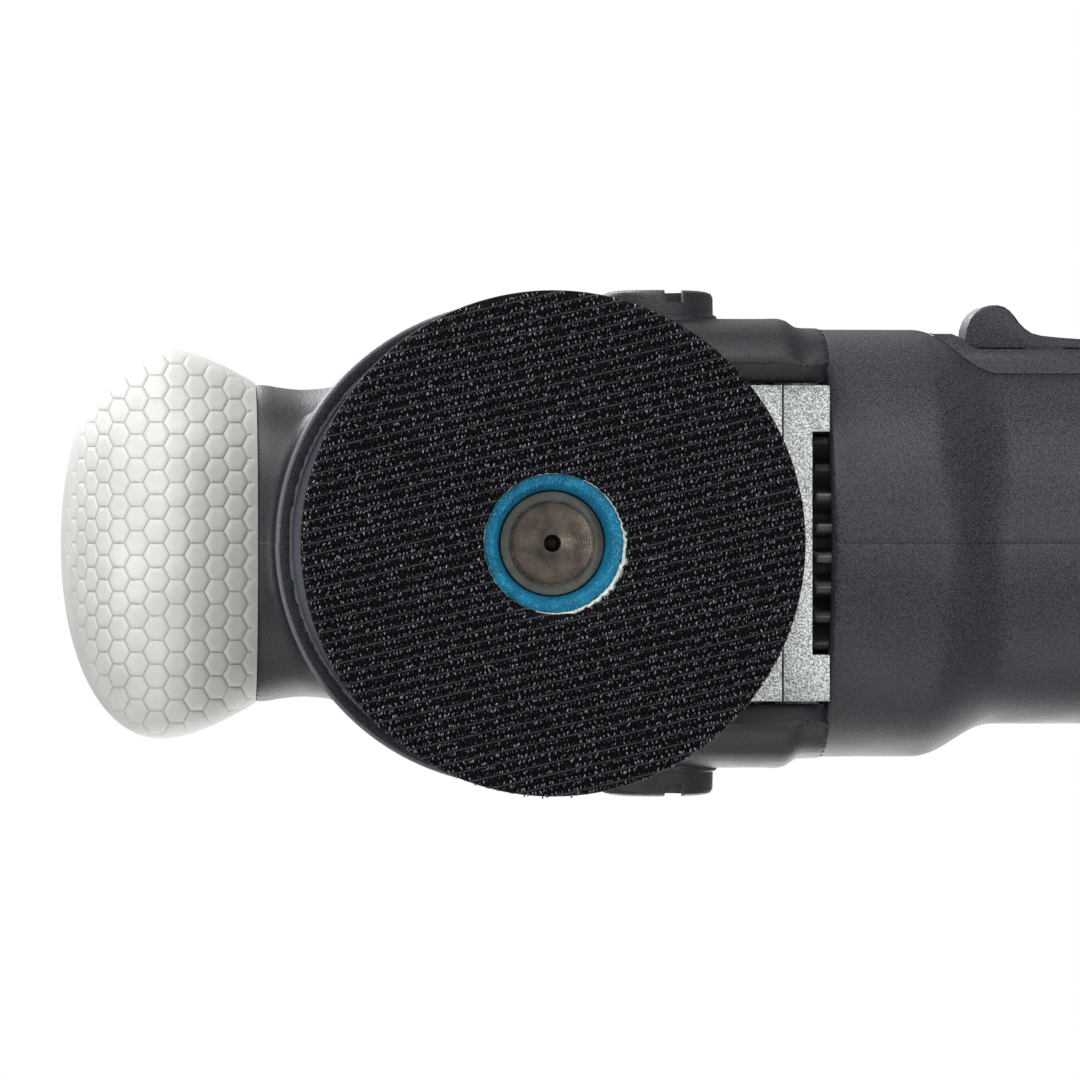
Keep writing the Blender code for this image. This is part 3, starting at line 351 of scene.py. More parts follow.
def makeFoam():
    # closed-cell polyurethane foam, cut with a knife: matt, with 0.6 mm cells
    made, tree = startMaterial("cutPolyurethaneFoam")
    place = addNode(tree, "TexCoord")["Object"]
    cells = addNode(tree, "TexVoronoi", {"Vector": place, "Scale": 1 / (0.6 * mm)})["Distance"]
    setInputs(tree.nodes[principled], {
        "Base Color": addNode(tree, "ValToRGB", {"Fac": cells}, [(0.2, "2E2D31"), (0.8, "1C1B1E")])[0],
        "Roughness": 0.9,
        "IOR": 1.4,
        "Normal": addNode(tree, "Bump", {"Height": cells, "Strength": 0.8, "Distance": 0.15 * mm})["Normal"],
    })
    return made


def makePlastic(name, dark, light, roughness, grainSize=0.5 * mm, depth=0.03 * mm):
    # moulded ABS or nylon with a light mould texture
    made, tree = startMaterial(name)
    place = addNode(tree, "TexCoord")["Object"]
    fine, cloud = [
        addNode(tree, "TexNoise", {"Vector": place, "Scale": 1 / size, "Detail": detail, "Roughness": 0.6})[0]
        for size, detail in ((grainSize, 2), (6 * mm, 3))
    ]
    dull = {"Value": fine, "To Min": roughness - 0.05, "To Max": roughness + 0.08, **tones}
    setInputs(tree.nodes[principled], {
        "Base Color": addNode(tree, "ValToRGB", {"Fac": cloud}, [(0.35, dark), (0.65, light)])[0],
        "Roughness": addNode(tree, "MapRange", dull)["Result"],
        "IOR": 1.53,
        "Normal": addNode(tree, "Bump", {"Height": fine, "Strength": 0.4, "Distance": depth})["Normal"],
    })
    return made


housingNylon = makeGrainedNylon("sparkErodedBlackNylon", "090A0E", "3E3F4A", 0.46, 0.1)
# the shroud's rim: the cover's black nylon drawn pale grey, as painted light on its lower face
rimNylonPaintedLight = makeGrainedNylon("blackNylonPaintedLight", "5E5F67", "767781", 0.42)
# the head cover's black nylon, drawn darker than the housing's as painted shade, which falls on the neck
# under the pad
coverNylonPaintedShade = makeGrainedNylon("sparkErodedBlackNylonPaintedShade", "0A0B0F", "2A2B33", 0.46, 0.12)
switchNylon = makeGrainedNylon("coarseGrainedSwitchNylon", "0A0A0E", "3C3D47", 0.5, 0.12)
whiteRubber = makeWhiteRubber()
castingPaint = makeCastingPaint()
hookGround = makeHookWeave()
hookNylonPaintedGlints = makeHookTips()
bluePlate = makeBluePlate()
facedSteel = makeFacedSteel()
bearingSteel = makeBareSteel("groundBearingSteel", "8D8E90", "B4B5B6", 0.28)
brightBurr = makeBareSteel("tornSteelBurr", "B9B4AA", "F0ECE2", 0.3)
gearSteel = makeBareSteel("hardenedGearSteel", "55524E", "7B7771", 0.38)
laminations = makeBareSteel("electricalSteel", "4C4B4A", "6E6C69", 0.45)
brassMetal = makeBareSteel("turnedBrass", "A5843F", "CDAE62", 0.34)
wireCopper = makeWoundCopper()
driedGlue = makeGlue()
cutFoam = makeFoam()
fanNylon = makePlastic("greyFanNylon", "5E6164", "74787B", 0.4)
blackRubber = makePlastic("mouldedBlackRubber", "18181A", "26262A", 0.7, 0.6 * mm, 0.05 * mm)
carbonBlock = makePlastic("pressedCarbon", "1F1F21", "323236", 0.6)
boardLaminate = makePlastic("greenSolderMask", "144F31", "1E6B41", 0.35)
print("materials ready")


# mesh tools
def meshOf(shape, name):
    mesh = bpy.data.meshes.new(name)
    shape.to_mesh(mesh)
    shape.free()
    return mesh


def showPiece(name, shape, body, material, stands=(), crease=40):
    # the finished mesh or bmesh as a piece on its body
    mesh = meshOf(shape, name) if isinstance(shape, bmesh.types.BMesh) else shape
    mesh.materials.append(material)
    mesh.shade_smooth()
    mesh.set_sharp_from_angle(angle=math.radians(crease))
    piece = bpy.data.objects.new(name, mesh)
    bpy.context.scene.collection.objects.link(piece)
    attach(piece, body)
    if stands:
        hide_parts(*stands)
    return piece


def superRing(shape, count, x, halfWidth, low, high, lowerPower, upperPower):
    # a circle pushed out to a superellipse across the X axis; returns its edges
    ring = bmesh.ops.create_circle(shape, segments=count, radius=1.0)["verts"]
    for vert in ring:
        across, up = vert.co.x, vert.co.y
        power = upperPower if up > 0 else lowerPower
        reach = (abs(across) ** power + abs(up) ** power) ** (-1 / power)
        halfHeight = (high - low) / 2
        vert.co = (x, across * reach * halfWidth, (low + high) / 2 + up * reach * halfHeight)
    found = set(ring)
    return [edge for edge in shape.edges if edge.verts[0] in found and edge.verts[1] in found]


def loftShape(sections, count):
    # rings bridged one after another, with both ends closed
    shape = bmesh.new()
    rings = [superRing(shape, count, *section) for section in sections]
    for near, far in zip(rings, rings[1:]):
        bmesh.ops.bridge_loops(shape, edges=near + far)
    for ring in (rings[0], rings[-1]):
        bmesh.ops.edgeloop_fill(shape, edges=ring)
    bmesh.ops.recalc_face_normals(shape, faces=shape.faces)
    return shape


def smoothTable(table, steps):
    # a smooth curve through the rows of a table, steps rows between each pair
    rows = []
    for index in range(len(table) - 1):
        before = table[max(index - 1, 0)]
        near = table[index]
        far = table[index + 1]
        after = table[min(index + 2, len(table) - 1)]
        for step in range(steps):
            t = step / steps
            row = []
            for a, b, c, d in zip(before, near, far, after):
                curve = 2 * b + (c - a) * t + (2 * a - 5 * b + 4 * c - d) * t * t
                curve += (3 * b - a - 3 * c + d) * t**3
                row.append(curve / 2)
            rows.append(row)
    rows.append(list(table[-1]))
    return rows


def spinShape(profile, centre, axis, steps):
    # a closed profile of (place along the axis, radius) turned full circle
    shape = bmesh.new()
    along = Vector(axis)
    out = Vector((0, 0, 1)) if abs(along.z) < 0.5 else Vector((1, 0, 0))
    points = [shape.verts.new(centre + along * place + out * radius) for place, radius in profile]
    edges = [shape.edges.new(pair) for pair in zip(points, points[1:] + points[:1])]
    bmesh.ops.spin(
        shape, geom=points + edges, cent=centre, axis=along, angle=2 * math.pi, steps=steps, use_merge=True,
    )
    bmesh.ops.remove_doubles(shape, verts=shape.verts, dist=0.001 * mm)
    bmesh.ops.recalc_face_normals(shape, faces=shape.faces)
    return shape


def applied(work):
    # the mesh of a working object with its modifiers applied; the object goes
    graph = bpy.context.evaluated_depsgraph_get()
    done = bpy.data.meshes.new_from_object(work.evaluated_get(graph))
    done.name = work.name
    done.materials.clear()
    bpy.data.objects.remove(work)
    return done


def linkObject(name, mesh):
    work = bpy.data.objects.new(name, mesh)
    bpy.context.scene.collection.objects.link(work)
    return work


def carve(shape, steps, bevel=0.0, name="carved", segments=2, bevelAngle=30, solver="EXACT"):
    # applies Booleans, given as (operation, shape), and a bevel; returns the new mesh
    work = linkObject(name, meshOf(shape, name) if isinstance(shape, bmesh.types.BMesh) else shape)
    tools = []
    for operation, cutter in steps:
        tool = linkObject("cutter", meshOf(cutter, "cutter"))
        tools.append(tool)
        change = work.modifiers.new("shape", "BOOLEAN")
        change.object = tool
        change.operation = operation
        change.solver = solver
    if bevel:
        edges = work.modifiers.new("edges", "BEVEL")
        edges.width = bevel
        edges.segments = segments
        edges.limit_method = "ANGLE"
        edges.angle_limit = math.radians(bevelAngle)
        edges.use_clamp_overlap = True
        edges.miter_outer = "MITER_ARC"
    done = applied(work)
    for tool in tools:
        bpy.data.objects.remove(tool)
    return done


def mergedCopy(node):
    # a CAD node's triangles, merged and with its flat faces made whole again
    shape = bmesh.new()
    shape.from_mesh(nodes[node].data)
    bmesh.ops.remove_doubles(shape, verts=shape.verts, dist=0.002 * mm)
    bmesh.ops.dissolve_limit(
        shape, angle_limit=math.radians(1), verts=shape.verts, edges=shape.edges, delimit={"NORMAL"},
    )
    return shape


def refined(name, node, body, material, bevel, segments=2, bevelAngle=35):
    # the CAD node's shape with its edges broken
    mesh = carve(mergedCopy(node), [], bevel=bevel, name=name, segments=segments, bevelAngle=bevelAngle)
    return showPiece(name, mesh, body, material, [node], crease=30)


# front grip
grip = {
    "grooveHalf": 0.46 * mm,
    "grooveDepth": 0.24 * mm,
    "rim": 0.6 * mm,           # smooth border at the open end
    "wall": 3.0 * mm,
    "nose": 16.0 * mm,         # length of the rounded end
    "noseStretch": 1.45,       # share of the net's rows that the nose gets
    "round": 0.93,
    "openEnd": 25.1 * mm,      # half width there
    "squareness": 2.3,
    "around": 464,
    "along": 184,
}


def hexGroove(across, along):
    # 1 in the middle of a groove of the hexagon net, 0 on a hexagon's top
    pitch = hexNet["pitch"]
    column = pitch * math.sqrt(3) / 2
    nearest = 1.0
    first = math.floor(across / column)
    for index in (first, first + 1):
        dx = abs(across - index * column)
        shift = pitch / 2 if index % 2 else 0.0
        dy = abs((along - shift + pitch / 2) % pitch - pitch / 2)
        edge = max(dy, dx * math.sqrt(3) / 2 + dy / 2)
        nearest = min(nearest, edge)
    inside = pitch / 2 - nearest
    share = min(max(inside / grip["grooveHalf"], 0.0), 1.0)
    return 1 - share * share * (3 - 2 * share)


def gripSections(inset, steps):
    # rows of place, half width, low and high, from the nose to the open end
    low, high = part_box("front_grip")
    halfWidth = (high.y - low.y) / 2
    centreZ = (high.z + low.z) / 2
    heightRatio = (high.z - low.z) / (high.y - low.y)
    widest = low.x + grip["nose"]
    square = grip["squareness"]
    arc = math.pi / 2 * grip["nose"] * grip["noseStretch"]
    total = arc + (high.x - widest)
    rows = []
    for step in range(steps + 1):
        travel = total * step / steps
        if travel < arc:
            angle = math.pi / 2 * (1 - travel / arc)
            angle = min(angle, math.radians(88.5))
            x = widest - math.sin(angle) ** grip["round"] * (grip["nose"] - inset)
            width = math.cos(angle) ** grip["round"] * (halfWidth - inset)
        else:
            share = (travel - arc) / (total - arc)
            x = widest + share * (high.x - widest)
            width = halfWidth - inset - (halfWidth - grip["openEnd"]) * share**1.6
        rows.append((x, width, centreZ - width * heightRatio, centreZ + width * heightRatio, square, square))
    return rows


def makeGrip():
    low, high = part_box("front_grip")
    rows = gripSections(0.0, grip["along"])
    shape = loftShape(rows, grip["around"])
    shape.normal_update()
    travel = [0.0]      # length along the underside, up to each section
    for near, far in zip(rows, rows[1:]):
        travel.append(travel[-1] + math.hypot(far[0] - near[0], far[2] - near[2]))
    travelled = shape.verts.layers.float.new("travel")
    faded = shape.verts.layers.float.new("fade")
    depths = {}
    for vert in shape.verts:
        facing = abs(vert.normal.z)
        toRim = min(max((high.x - grip["rim"] - vert.co.x) / (0.25 * mm), 0.0), 1.0)
        vert[faded] = min(max((facing - 0.16) / 0.3, 0.0), 1.0) * toRim
        vert[travelled] = travel[vert.index // grip["around"]] - travel[-1] + hexNet["shift"]
        depths[vert] = hexGroove(vert[travelled], vert.co.y) * vert[faded]
    for vert, depth in depths.items():
        vert.co -= vert.normal * grip["grooveDepth"] * depth
    hollow = [list(row) for row in gripSections(grip["wall"], 16)]
    hollow[-1][0] += 1 * mm
    mesh = carve(shape, [("DIFFERENCE", loftShape(hollow, 48))], name="frontGrip")
    showPiece("frontGrip", mesh, "body", whiteRubber, ["front_grip"], crease=50)


makeGrip()
print("front grip done")


# shapes placed from the spindle's axis, in millimetres
motorHeight = 70


def fromSpindle(x, y, z):
    return Vector((spindleX + x * mm, y * mm, z * mm))


def turnedShape(profile, centre, axis, steps):
    scaled = [(place * mm, radius * mm) for place, radius in profile]
    return spinShape(scaled, centre, axis, steps)


def rodShape(centre, axis, radius, low, high, steps=48):
    return turnedShape([(low, 0), (low, radius), (high, radius), (high, 0)], centre, axis, steps)


def boxShape(near, far, bevel=0.0):
    # a block between two opposite corners
    low = fromSpindle(*[min(pair) for pair in zip(near, far)])
    high = fromSpindle(*[max(pair) for pair in zip(near, far)])
    shape = bmesh.new()
    bmesh.ops.create_cube(shape, size=1.0)
    bmesh.ops.scale(shape, vec=high - low, verts=shape.verts)
    bmesh.ops.translate(shape, vec=(low + high) / 2, verts=shape.verts)
    if bevel:
        bmesh.ops.bevel(
            shape, geom=shape.edges, offset=bevel * mm, affect="EDGES", segments=3, profile=0.5, material=-1,
        )
    return shape


def sheetShape(outline, low, high, plane):
    # an outline drawn on the XY or YZ plane, extruded across it
    shape = bmesh.new()
    if plane == "XY":
        places = [fromSpindle(a, b, low) for a, b in outline]
        reach = Vector((0, 0, high - low)) * mm
    else:
        places = [fromSpindle(low, a, b) for a, b in outline]
        reach = Vector((high - low, 0, 0)) * mm
    verts = [shape.verts.new(place) for place in places]
    edges = [shape.edges.new(pair) for pair in zip(verts, verts[1:] + verts[:1])]
    face = bmesh.ops.edgeloop_fill(shape, edges=edges)["faces"][0]
    grown = bmesh.ops.extrude_face_region(shape, geom=[face])["geom"]
    moved = [item for item in grown if isinstance(item, bmesh.types.BMVert)]
    bmesh.ops.translate(shape, vec=reach, verts=moved)
    bmesh.ops.recalc_face_normals(shape, faces=shape.faces)
    return shape


def halfSpace(side, gap):
    # what lies on the other side of the parting plane
    if side > 0:
        return boxShape((-90, -60, -20), (240, gap, 140))
    return boxShape((-90, -gap, -20), (240, 60, 140))


# head cover
headCover = {
    # place along X, half width, lowest, highest, squareness below and above
    "neck": [
        (-39.7, 24.7, 35.8, 80.2, 2.3, 2.3), (-37.5, 24.8, 35.3, 81, 2.3, 2.3),
        (-35, 24.4, 35.2, 83, 2.4, 2.3), (-31, 24.1, 34.8, 86, 2.5, 2.3), (-26, 24.8, 34.2, 90, 2.8, 2.3),
        (-20, 27.6, 33.7, 94, 3.3, 2.3), (-12, 32, 33.3, 98.5, 4.2, 2.3), (-3, 34.8, 33, 102, 5.2, 2.3),
        (10, 35.2, 32.9, 103.8, 6, 2.3), (38, 35.2, 33, 104, 6, 2.3), (43, 35.2, 33.1, 104, 6, 2.3),
        (45, 33.9, 33.2, 104, 6, 2.3), (49.3, 33.8, 33.3, 104, 6, 2.3),
    ],
    "spigot": [(-60, 18, 42, 74, 2.3, 2.3), (-57, 21, 39.5, 77, 2.3, 2.3), (-37, 21.4, 38.8, 77.6, 2.3, 2.3)],
    "wall": 2.4,
    "shroudOuter": 36.5,
    "shroudInner": 34.4,
    "shroudLow": 20.0,
    "earInner": (27.9, 24.9),      # at its lower edge and where it meets the casting
    "earEnd": (45.3, 30.4),        # middle of its rounded end, and that end's radii
    "earRadii": (4.4, 4.4, 0.2),
    "boss": (24, 54),     # place along X and height
    "bossRadius": 8.75,
    "bossReach": 39.45,
    "bossRoot": 29.5,
    "voxel": 0.72,
    "gap": 0.015,
}


def sectionRows(table, inset, steps):
    rows = []
    for x, halfWidth, low, high, lower, upper in smoothTable(table, steps):
        sizes = [(size * mm) for size in (halfWidth - inset, low + inset, high - inset)]
        rows.append((spindleX + x * mm, *sizes, lower, upper))
    return rows


def bossShape(side):
    radius, reach = headCover["bossRadius"], headCover["bossReach"]
    profile = [
        (headCover["bossRoot"], 0), (headCover["bossRoot"], radius + 0.7), (34.9, radius + 0.7),
        (35.5, radius + 0.6), (35.8, radius + 0.05), (reach - 1.0, radius), (reach - 0.4, radius - 0.3),
        (reach - 0.12, radius - 1.0), (reach, radius - 1.8), (reach, 0),
    ]
    x, z = headCover["boss"]
    return turnedShape(profile, fromSpindle(x, 0, z), (0, side, 0), 72)


def shapeOf(mesh):
    shape = bmesh.new()
    shape.from_mesh(mesh)
    return shape


def earEndCutter(side):
    # what is outside the ear's rounded end, whose inner side is drafted
    x, y = headCover["earEnd"]
    along, outer, inner = headCover["earRadii"]
    foot, top = 31, 46
    middle = fromSpindle(x, side * y, 0)
    block = boxShape((x, side * (y - 7), foot), (x + 8, side * (y + 8), top))
    pillar = rodShape(middle, zAxis, 1.0, foot - 1, top + 1, 96)
    for vert in pillar.verts:
        up = vert.co.z / mm - foot
        away = vert.co - middle
        away.x *= along + 0.12 * up
        away.y *= outer if away.y * side > 0 else max(inner + 0.62 * up, 0.2)
        vert.co = middle + away
    return shapeOf(carve(block, [("DIFFERENCE", pillar)]))


def shroudLip(side):
    # the shroud's lower face, half a turn of it: a rim, a flat band and a lower inner step
    outer = headCover["shroudOuter"] + (0.1 if side > 0 else 0)    # the halves never meet quite flush
    profile = [
        (outer - 0.62, 0.22), (outer - 0.5, 0.03), (outer - 0.2, 0), (outer, 0.18), (outer + 0.06, 0.7),
        (outer - 0.2, 2.4), (31.4, 2.4), (31.4, 0.9), (31.6, 0.72), (33.85, 0.7), (34.05, 0.6), (34.12, 0.34),
        (34.3, 0.22),
    ]
    shape = bmesh.new()
    low = headCover["shroudLow"]
    points = [shape.verts.new(fromSpindle(0, side * radius, low + up)) for radius, up in profile]
    edges = [shape.edges.new(pair) for pair in zip(points, points[1:] + points[:1])]
    centre = fromSpindle(0, 0, 0)
    quarter = Matrix.Rotation(-math.pi / 2, 3, "Z")
    bmesh.ops.rotate(shape, cent=centre, matrix=quarter, verts=points)
    bmesh.ops.contextual_create(shape, geom=edges)
    made = bmesh.ops.spin(shape, geom=points + edges, cent=centre, axis=zAxis, angle=math.pi, steps=96)
    ends = [item for item in made["geom_last"] if isinstance(item, bmesh.types.BMEdge)]
    bmesh.ops.contextual_create(shape, geom=ends)
    bmesh.ops.recalc_face_normals(shape, faces=shape.faces)
    return shape


def makeHeadCovers():
    s = headCover
    centre = fromSpindle(0, 0, 0)
    outer, low = s["shroudOuter"], s["shroudLow"]
    profile = [(44, 0), (44, outer - 2.5), (41.5, outer), (low, outer), (low, 0)]
    shroud = turnedShape(profile, centre, zAxis, 144)
    hollow = loftShape(sectionRows(s["neck"], s["wall"], 3), 64)
    bmesh.ops.translate(hollow, vec=(0.9 * mm, 0, 0), verts=hollow.verts)
    spigotHollow = loftShape(sectionRows(s["spigot"], s["wall"], 1), 64)
    bmesh.ops.translate(spigotHollow, vec=(3.5 * mm, 0, 0), verts=spigotHollow.verts)
    lower, upper = s["earInner"]
    opening = [(-lower - 0.3, 20), (-lower, 34.2), (-upper, 38.8), (-upper, 50)]
    opening += [(-across, up) for across, up in reversed(opening)]
    walls = []
    for side in (-1, 1):
        outline = [(lower - 1, 35.6), (upper - 1, 38.8), (upper - 1, 45), (upper + 2, 45)]
        outline += [(lower + 2.4, 37.2)]
        walls.append(("UNION", sheetShape([(side * across, up) for across, up in outline], 8, 49.2, "YZ")))
    steps = [
        ("UNION", loftShape(sectionRows(s["spigot"], 0, 1), 96)),
        ("UNION", shroud),
        ("DIFFERENCE", hollow),
        ("DIFFERENCE", spigotHollow),
        *walls,
        ("DIFFERENCE", rodShape(centre, zAxis, s["shroudInner"], low - 3, 42, 128)),
        ("DIFFERENCE", sheetShape(opening, 5, 54, "YZ")),
        ("DIFFERENCE", earEndCutter(-1)),
        ("DIFFERENCE", earEndCutter(1)),
    ]
    work = linkObject("whole", carve(loftShape(sectionRows(s["neck"], 0, 5), 128), steps))
    remesh = work.modifiers.new("remesh", "REMESH")
    remesh.mode = "VOXEL"
    remesh.voxel_size = s["voxel"] * mm
    soften = work.modifiers.new("soften", "SMOOTH")
    soften.factor = 0.5
    soften.iterations = 2
    whole = applied(work)
    x, z = s["boss"]
    for side, label in ((-1, "left"), (1, "right")):
        reach = s["bossReach"]
        bore = rodShape(fromSpindle(x, 0, z), (0, side, 0), 5.8, s["bossRoot"] - 3, reach + 2, 64)
        foot = z - s["bossRadius"] - 1
        notch = boxShape((x + 0.5, side * (reach - 1.9), foot), (x + 3.4, side * (reach + 1), z - 4), 0.15)
        cuts = [("DIFFERENCE", bore.copy()), ("DIFFERENCE", notch)]
        name = "handleBoss" + label.capitalize()
        boss = carve(bossShape(side), cuts, bevel=0.18 * mm, name=name)
        showPiece(name, boss, "body", coverNylonPaintedShade, crease=36)
        cuts = [("DIFFERENCE", bore), ("DIFFERENCE", halfSpace(side, s["gap"]))]
        name = "headCover" + label.capitalize()
        mesh = carve(whole.copy(), cuts, name=name, solver="MANIFOLD")
        showPiece(name, mesh, "body", coverNylonPaintedShade, ["head_cover_" + label], crease=42)
        # the rim gets the pale grey nylon of painted light
        name = "shroudRim" + label.capitalize()
        showPiece(name, shroudLip(side), "body", rimNylonPaintedLight, crease=42)


makeHeadCovers()
print("head covers done")


# motor housing
housing = {
    "wide": 34.1,               # radius at the front, and then the handle's
    "handle": 28.9,
    "shoulder": (66.0, 79.0),
    "roundFrom": 196.0,
    "end": 214.0,
    "endRadius": 16.0,
    "steps": 160,
    "gap": 0.03,
    "bevel": 0.35,
    "brushes": 127,
    "screws": [(151.5, 49.0), (151.5, 91.0), (192.0, 49.0)],
}
shoulderPlaces = [66 + 13 * step / 20 for step in range(21)]


def housingRadius(x):
    start, stop = housing["shoulder"]
    wide, handle, end = housing["wide"], housing["handle"], housing["endRadius"]
    if x > housing["roundFrom"]:
        share = (x - housing["roundFrom"]) / (housing["end"] - housing["roundFrom"])
        return end + (handle - end) * math.sqrt(1 - share * share)
    share = min(max((x - start) / (stop - start), 0), 1)
    return wide - (wide - handle) * (1 - math.cos(math.pi * share)) / 2


def housingProfile():
    # the outside from the front lip to the rear, then back along the cavity
    places = [52.2, 58, 62] + shoulderPlaces + [90, 110, 130, 150, 170, 185]
    places += [196 + 18 * math.sin(step / 16 * math.pi / 2) for step in range(17)]
    wide = housing["wide"]
    profile = [
        (49.75, 31.6), (49.7, wide - 0.95), (49.85, wide - 0.45), (50.25, wide - 0.1), (50.8, wide),
    ]
    profile += [(x, housingRadius(x)) for x in places]
    profile += [
        (214, 6.4), (211.5, 6.4), (211.5, 13), (206, 20), (195, 26.5), (147, 26.5), (147, 13.3),
        (137, 13.3), (137, 26.5), (68, 26.5), (58, 31.6),
    ]
    return profile


def makeMotorHousing():
    s = housing
    axis = fromSpindle(0, 0, motorHeight)
    steps = []
    for x, z in s["screws"]:
        # a post that ends inside the handle's wall
        post = rodShape(fromSpindle(x, 0, z), yAxis, 3.8, -22, 22, 24)
        within = rodShape(axis, xAxis, s["handle"] - 0.6, x - 8, x + 8, 96)
        steps.append(("UNION", shapeOf(carve(post, [("INTERSECT", within)]))))
        hole = [(-30, 0), (-30, 3.4), (-12.4, 3.4), (-12.4, 1.9), (11, 1.9), (11, 0)]
        steps.append(("DIFFERENCE", turnedShape(hole, fromSpindle(x, 0, z), yAxis, 32)))
    brushes = fromSpindle(s["brushes"], 0, motorHeight)
    steps.append(("DIFFERENCE", rodShape(brushes, zAxis, 6.4, -35, 35, 48)))
    steps.append(("DIFFERENCE", boxShape((176.5, -3.2, 92), (195.5, 3.2, 103), 0.8)))
    for side, label in ((-1, "left"), (1, "right")):
        extra = []
        for row in range(4):
            slot = boxShape((160 + 6.5 * row, side * 24, 62), (163 + 6.5 * row, side * 38, 78))
            upright = [e for e in slot.edges if abs((e.verts[0].co - e.verts[1].co).y) > 1 * mm]
            bmesh.ops.bevel(
                slot, geom=upright, offset=1.45 * mm, affect="EDGES", segments=5, profile=0.5, material=-1,
            )
            extra.append(("DIFFERENCE", slot))
        if side < 0:
            extra.append(("DIFFERENCE", boxShape((68.7, -40, 64.9), (97, -30.4, 75.1))))
            extra.append(("DIFFERENCE", boxShape((78.5, -34, 65.5), (91, -24, 74.5))))
            extra.append(("DIFFERENCE", boxShape((135, -26.2, 65.5), (149, -24, 74.5))))
        extra.append(("DIFFERENCE", halfSpace(side, s["gap"])))
        tools = [(operation, shape.copy()) for operation, shape in steps] + extra
        name = "motorHousing" + label.capitalize()
        shape = turnedShape(housingProfile(), axis, xAxis, s["steps"])
        mesh = carve(shape, tools, bevel=s["bevel"] * mm, name=name, solver="MANIFOLD")
        showPiece(name, mesh, "body", housingNylon, ["motor_housing_" + label], crease=30)


makeMotorHousing()
print("motor housing done")


# gear castings and fan
refined("gearHousing", "gear_housing", "body", castingPaint, 0.6 * mm, 3)
refined("motorFlange", "motor_flange", "body", castingPaint, 0.4 * mm, 2)
refined("coolingFan", "cooling_fan", "armature", fanNylon, 0.35 * mm, 2)
print("castings and fan done")


# pad
pad = {
    "radius": 37.5,
    "hole": 10.45,
    "face": 0.85,          # the woven ground's height above the hooks' tips
    "pairPitch": 0.85,     # hooks stand in pairs, two rows of them to a thread
    "pairHalf": 0.17,
    "hookRise": 0.8,
    "hookThick": 0.11,
    "keep": 0.93,
    "seed": 11,
}


def makeHookFace():
    outer, hole, face = pad["radius"], pad["hole"], pad["face"]
    profile = [
        (face + 0.1, hole + 0.15), (face, hole + 0.4), (face, 18), (face, 26), (face, 33),
        (face, outer - 0.5), (face + 0.15, outer - 0.12), (face + 0.6, outer), (1.9, outer),
        (2.2, outer - 0.25), (2.2, hole), (face + 0.5, hole),
    ]
    shape = turnedShape(profile, padMiddle, zAxis, 144)
    showPiece("hookGround", shape, "pad", hookGround, ["hook_face"])


def hookMesh():
    # one bent thread: up, over and a little down, closed at both ends
    shape = bmesh.new()
    ring = bmesh.ops.create_circle(shape, segments=4, radius=pad["hookThick"] * mm, cap_ends=False)["verts"]
    edges = list({edge for vert in ring for edge in vert.link_edges})
    rise = pad["hookRise"] * mm
    lift = bmesh.ops.extrude_edge_only(shape, edges=edges)["geom"]
    top = [item for item in lift if isinstance(item, bmesh.types.BMVert)]
    bmesh.ops.translate(shape, vec=(0, 0, -rise * 0.55), verts=top)
    rim = [item for item in lift if isinstance(item, bmesh.types.BMEdge)]
    rim = [edge for edge in rim if edge.verts[0] in top and edge.verts[1] in top]
    bmesh.ops.spin(
        shape, geom=rim + top, cent=(rise * 0.3, 0, -rise * 0.55), axis=(0, 1, 0),
        angle=math.radians(-190), steps=3,
    )
    bmesh.ops.holes_fill(shape, edges=shape.edges, sides=8)
    bmesh.ops.remove_doubles(shape, verts=shape.verts, dist=0.001 * mm)
    bmesh.ops.recalc_face_normals(shape, faces=shape.faces)
    return meshOf(shape, "hook")


def makeHooks(name, first):
    # every second line of hooks, from the line given
    rng = random.Random(pad["seed"] + first)
    single = hookMesh()
    shape = bmesh.new()
    tilt = Matrix.Rotation(-hookWeave["tilt"], 4, "Z")
    row = hookWeave["row"] / mm / 2
    reach = pad["radius"]
    count = int(reach / row) + 2
    for line in range(-count + first, count + 1, 2):
        place = -reach + pad["pairPitch"] * rng.uniform(0.0, 0.3)
        while place < reach:
            place += pad["pairPitch"]
            for half in (-pad["pairHalf"], pad["pairHalf"]):
                along = place + half + rng.gauss(0, 0.05)
                flat = Vector((along, (line + 0.5) * row + rng.gauss(0, 0.05), 0))
                away = flat.length
                if away > reach - 0.2 or away < pad["hole"] + 0.35 or rng.random() > pad["keep"]:
                    continue
                turn = Matrix.Rotation(rng.gauss(math.pi / 2, 0.35), 4, "Z")
                lean = Matrix.Rotation(rng.gauss(0, 0.2), 4, "X")
                lean = lean @ Matrix.Rotation(rng.gauss(0, 0.18), 4, "Y")
                size = rng.uniform(0.78, 1.04)
                spot = tilt @ (flat * mm)
                spot = Vector((padCentre.x + spot.x, padCentre.y + spot.y, (pad["face"] + 0.02) * mm))
                move = Matrix.Translation(spot) @ turn @ lean @ Matrix.Diagonal((size, size, size, 1))
                single.transform(move)
                shape.from_mesh(single)
                single.transform(move.inverted())
    showPiece(name, shape, "pad", hookNylonPaintedGlints, crease=60)


makeHookFace()
makeHooks("hookThreads", 0)
makeHooks("hookThreadsBetween", 1)
print("hook face done")


def makePadFoam():
    profile = [
        (9.5, 10.95), (9.5, 33.9), (8.6, 34.9), (7.2, 36.05), (5.2, 36.9), (3.6, 37.2), (2.5, 37.15),
        (2.4, 36.9), (2.4, 10.95),
    ]
    shape = turnedShape(profile, padMiddle, zAxis, 128)
    foam = showPiece("padFoam", shape, "pad", cutFoam, ["pad_foam"])


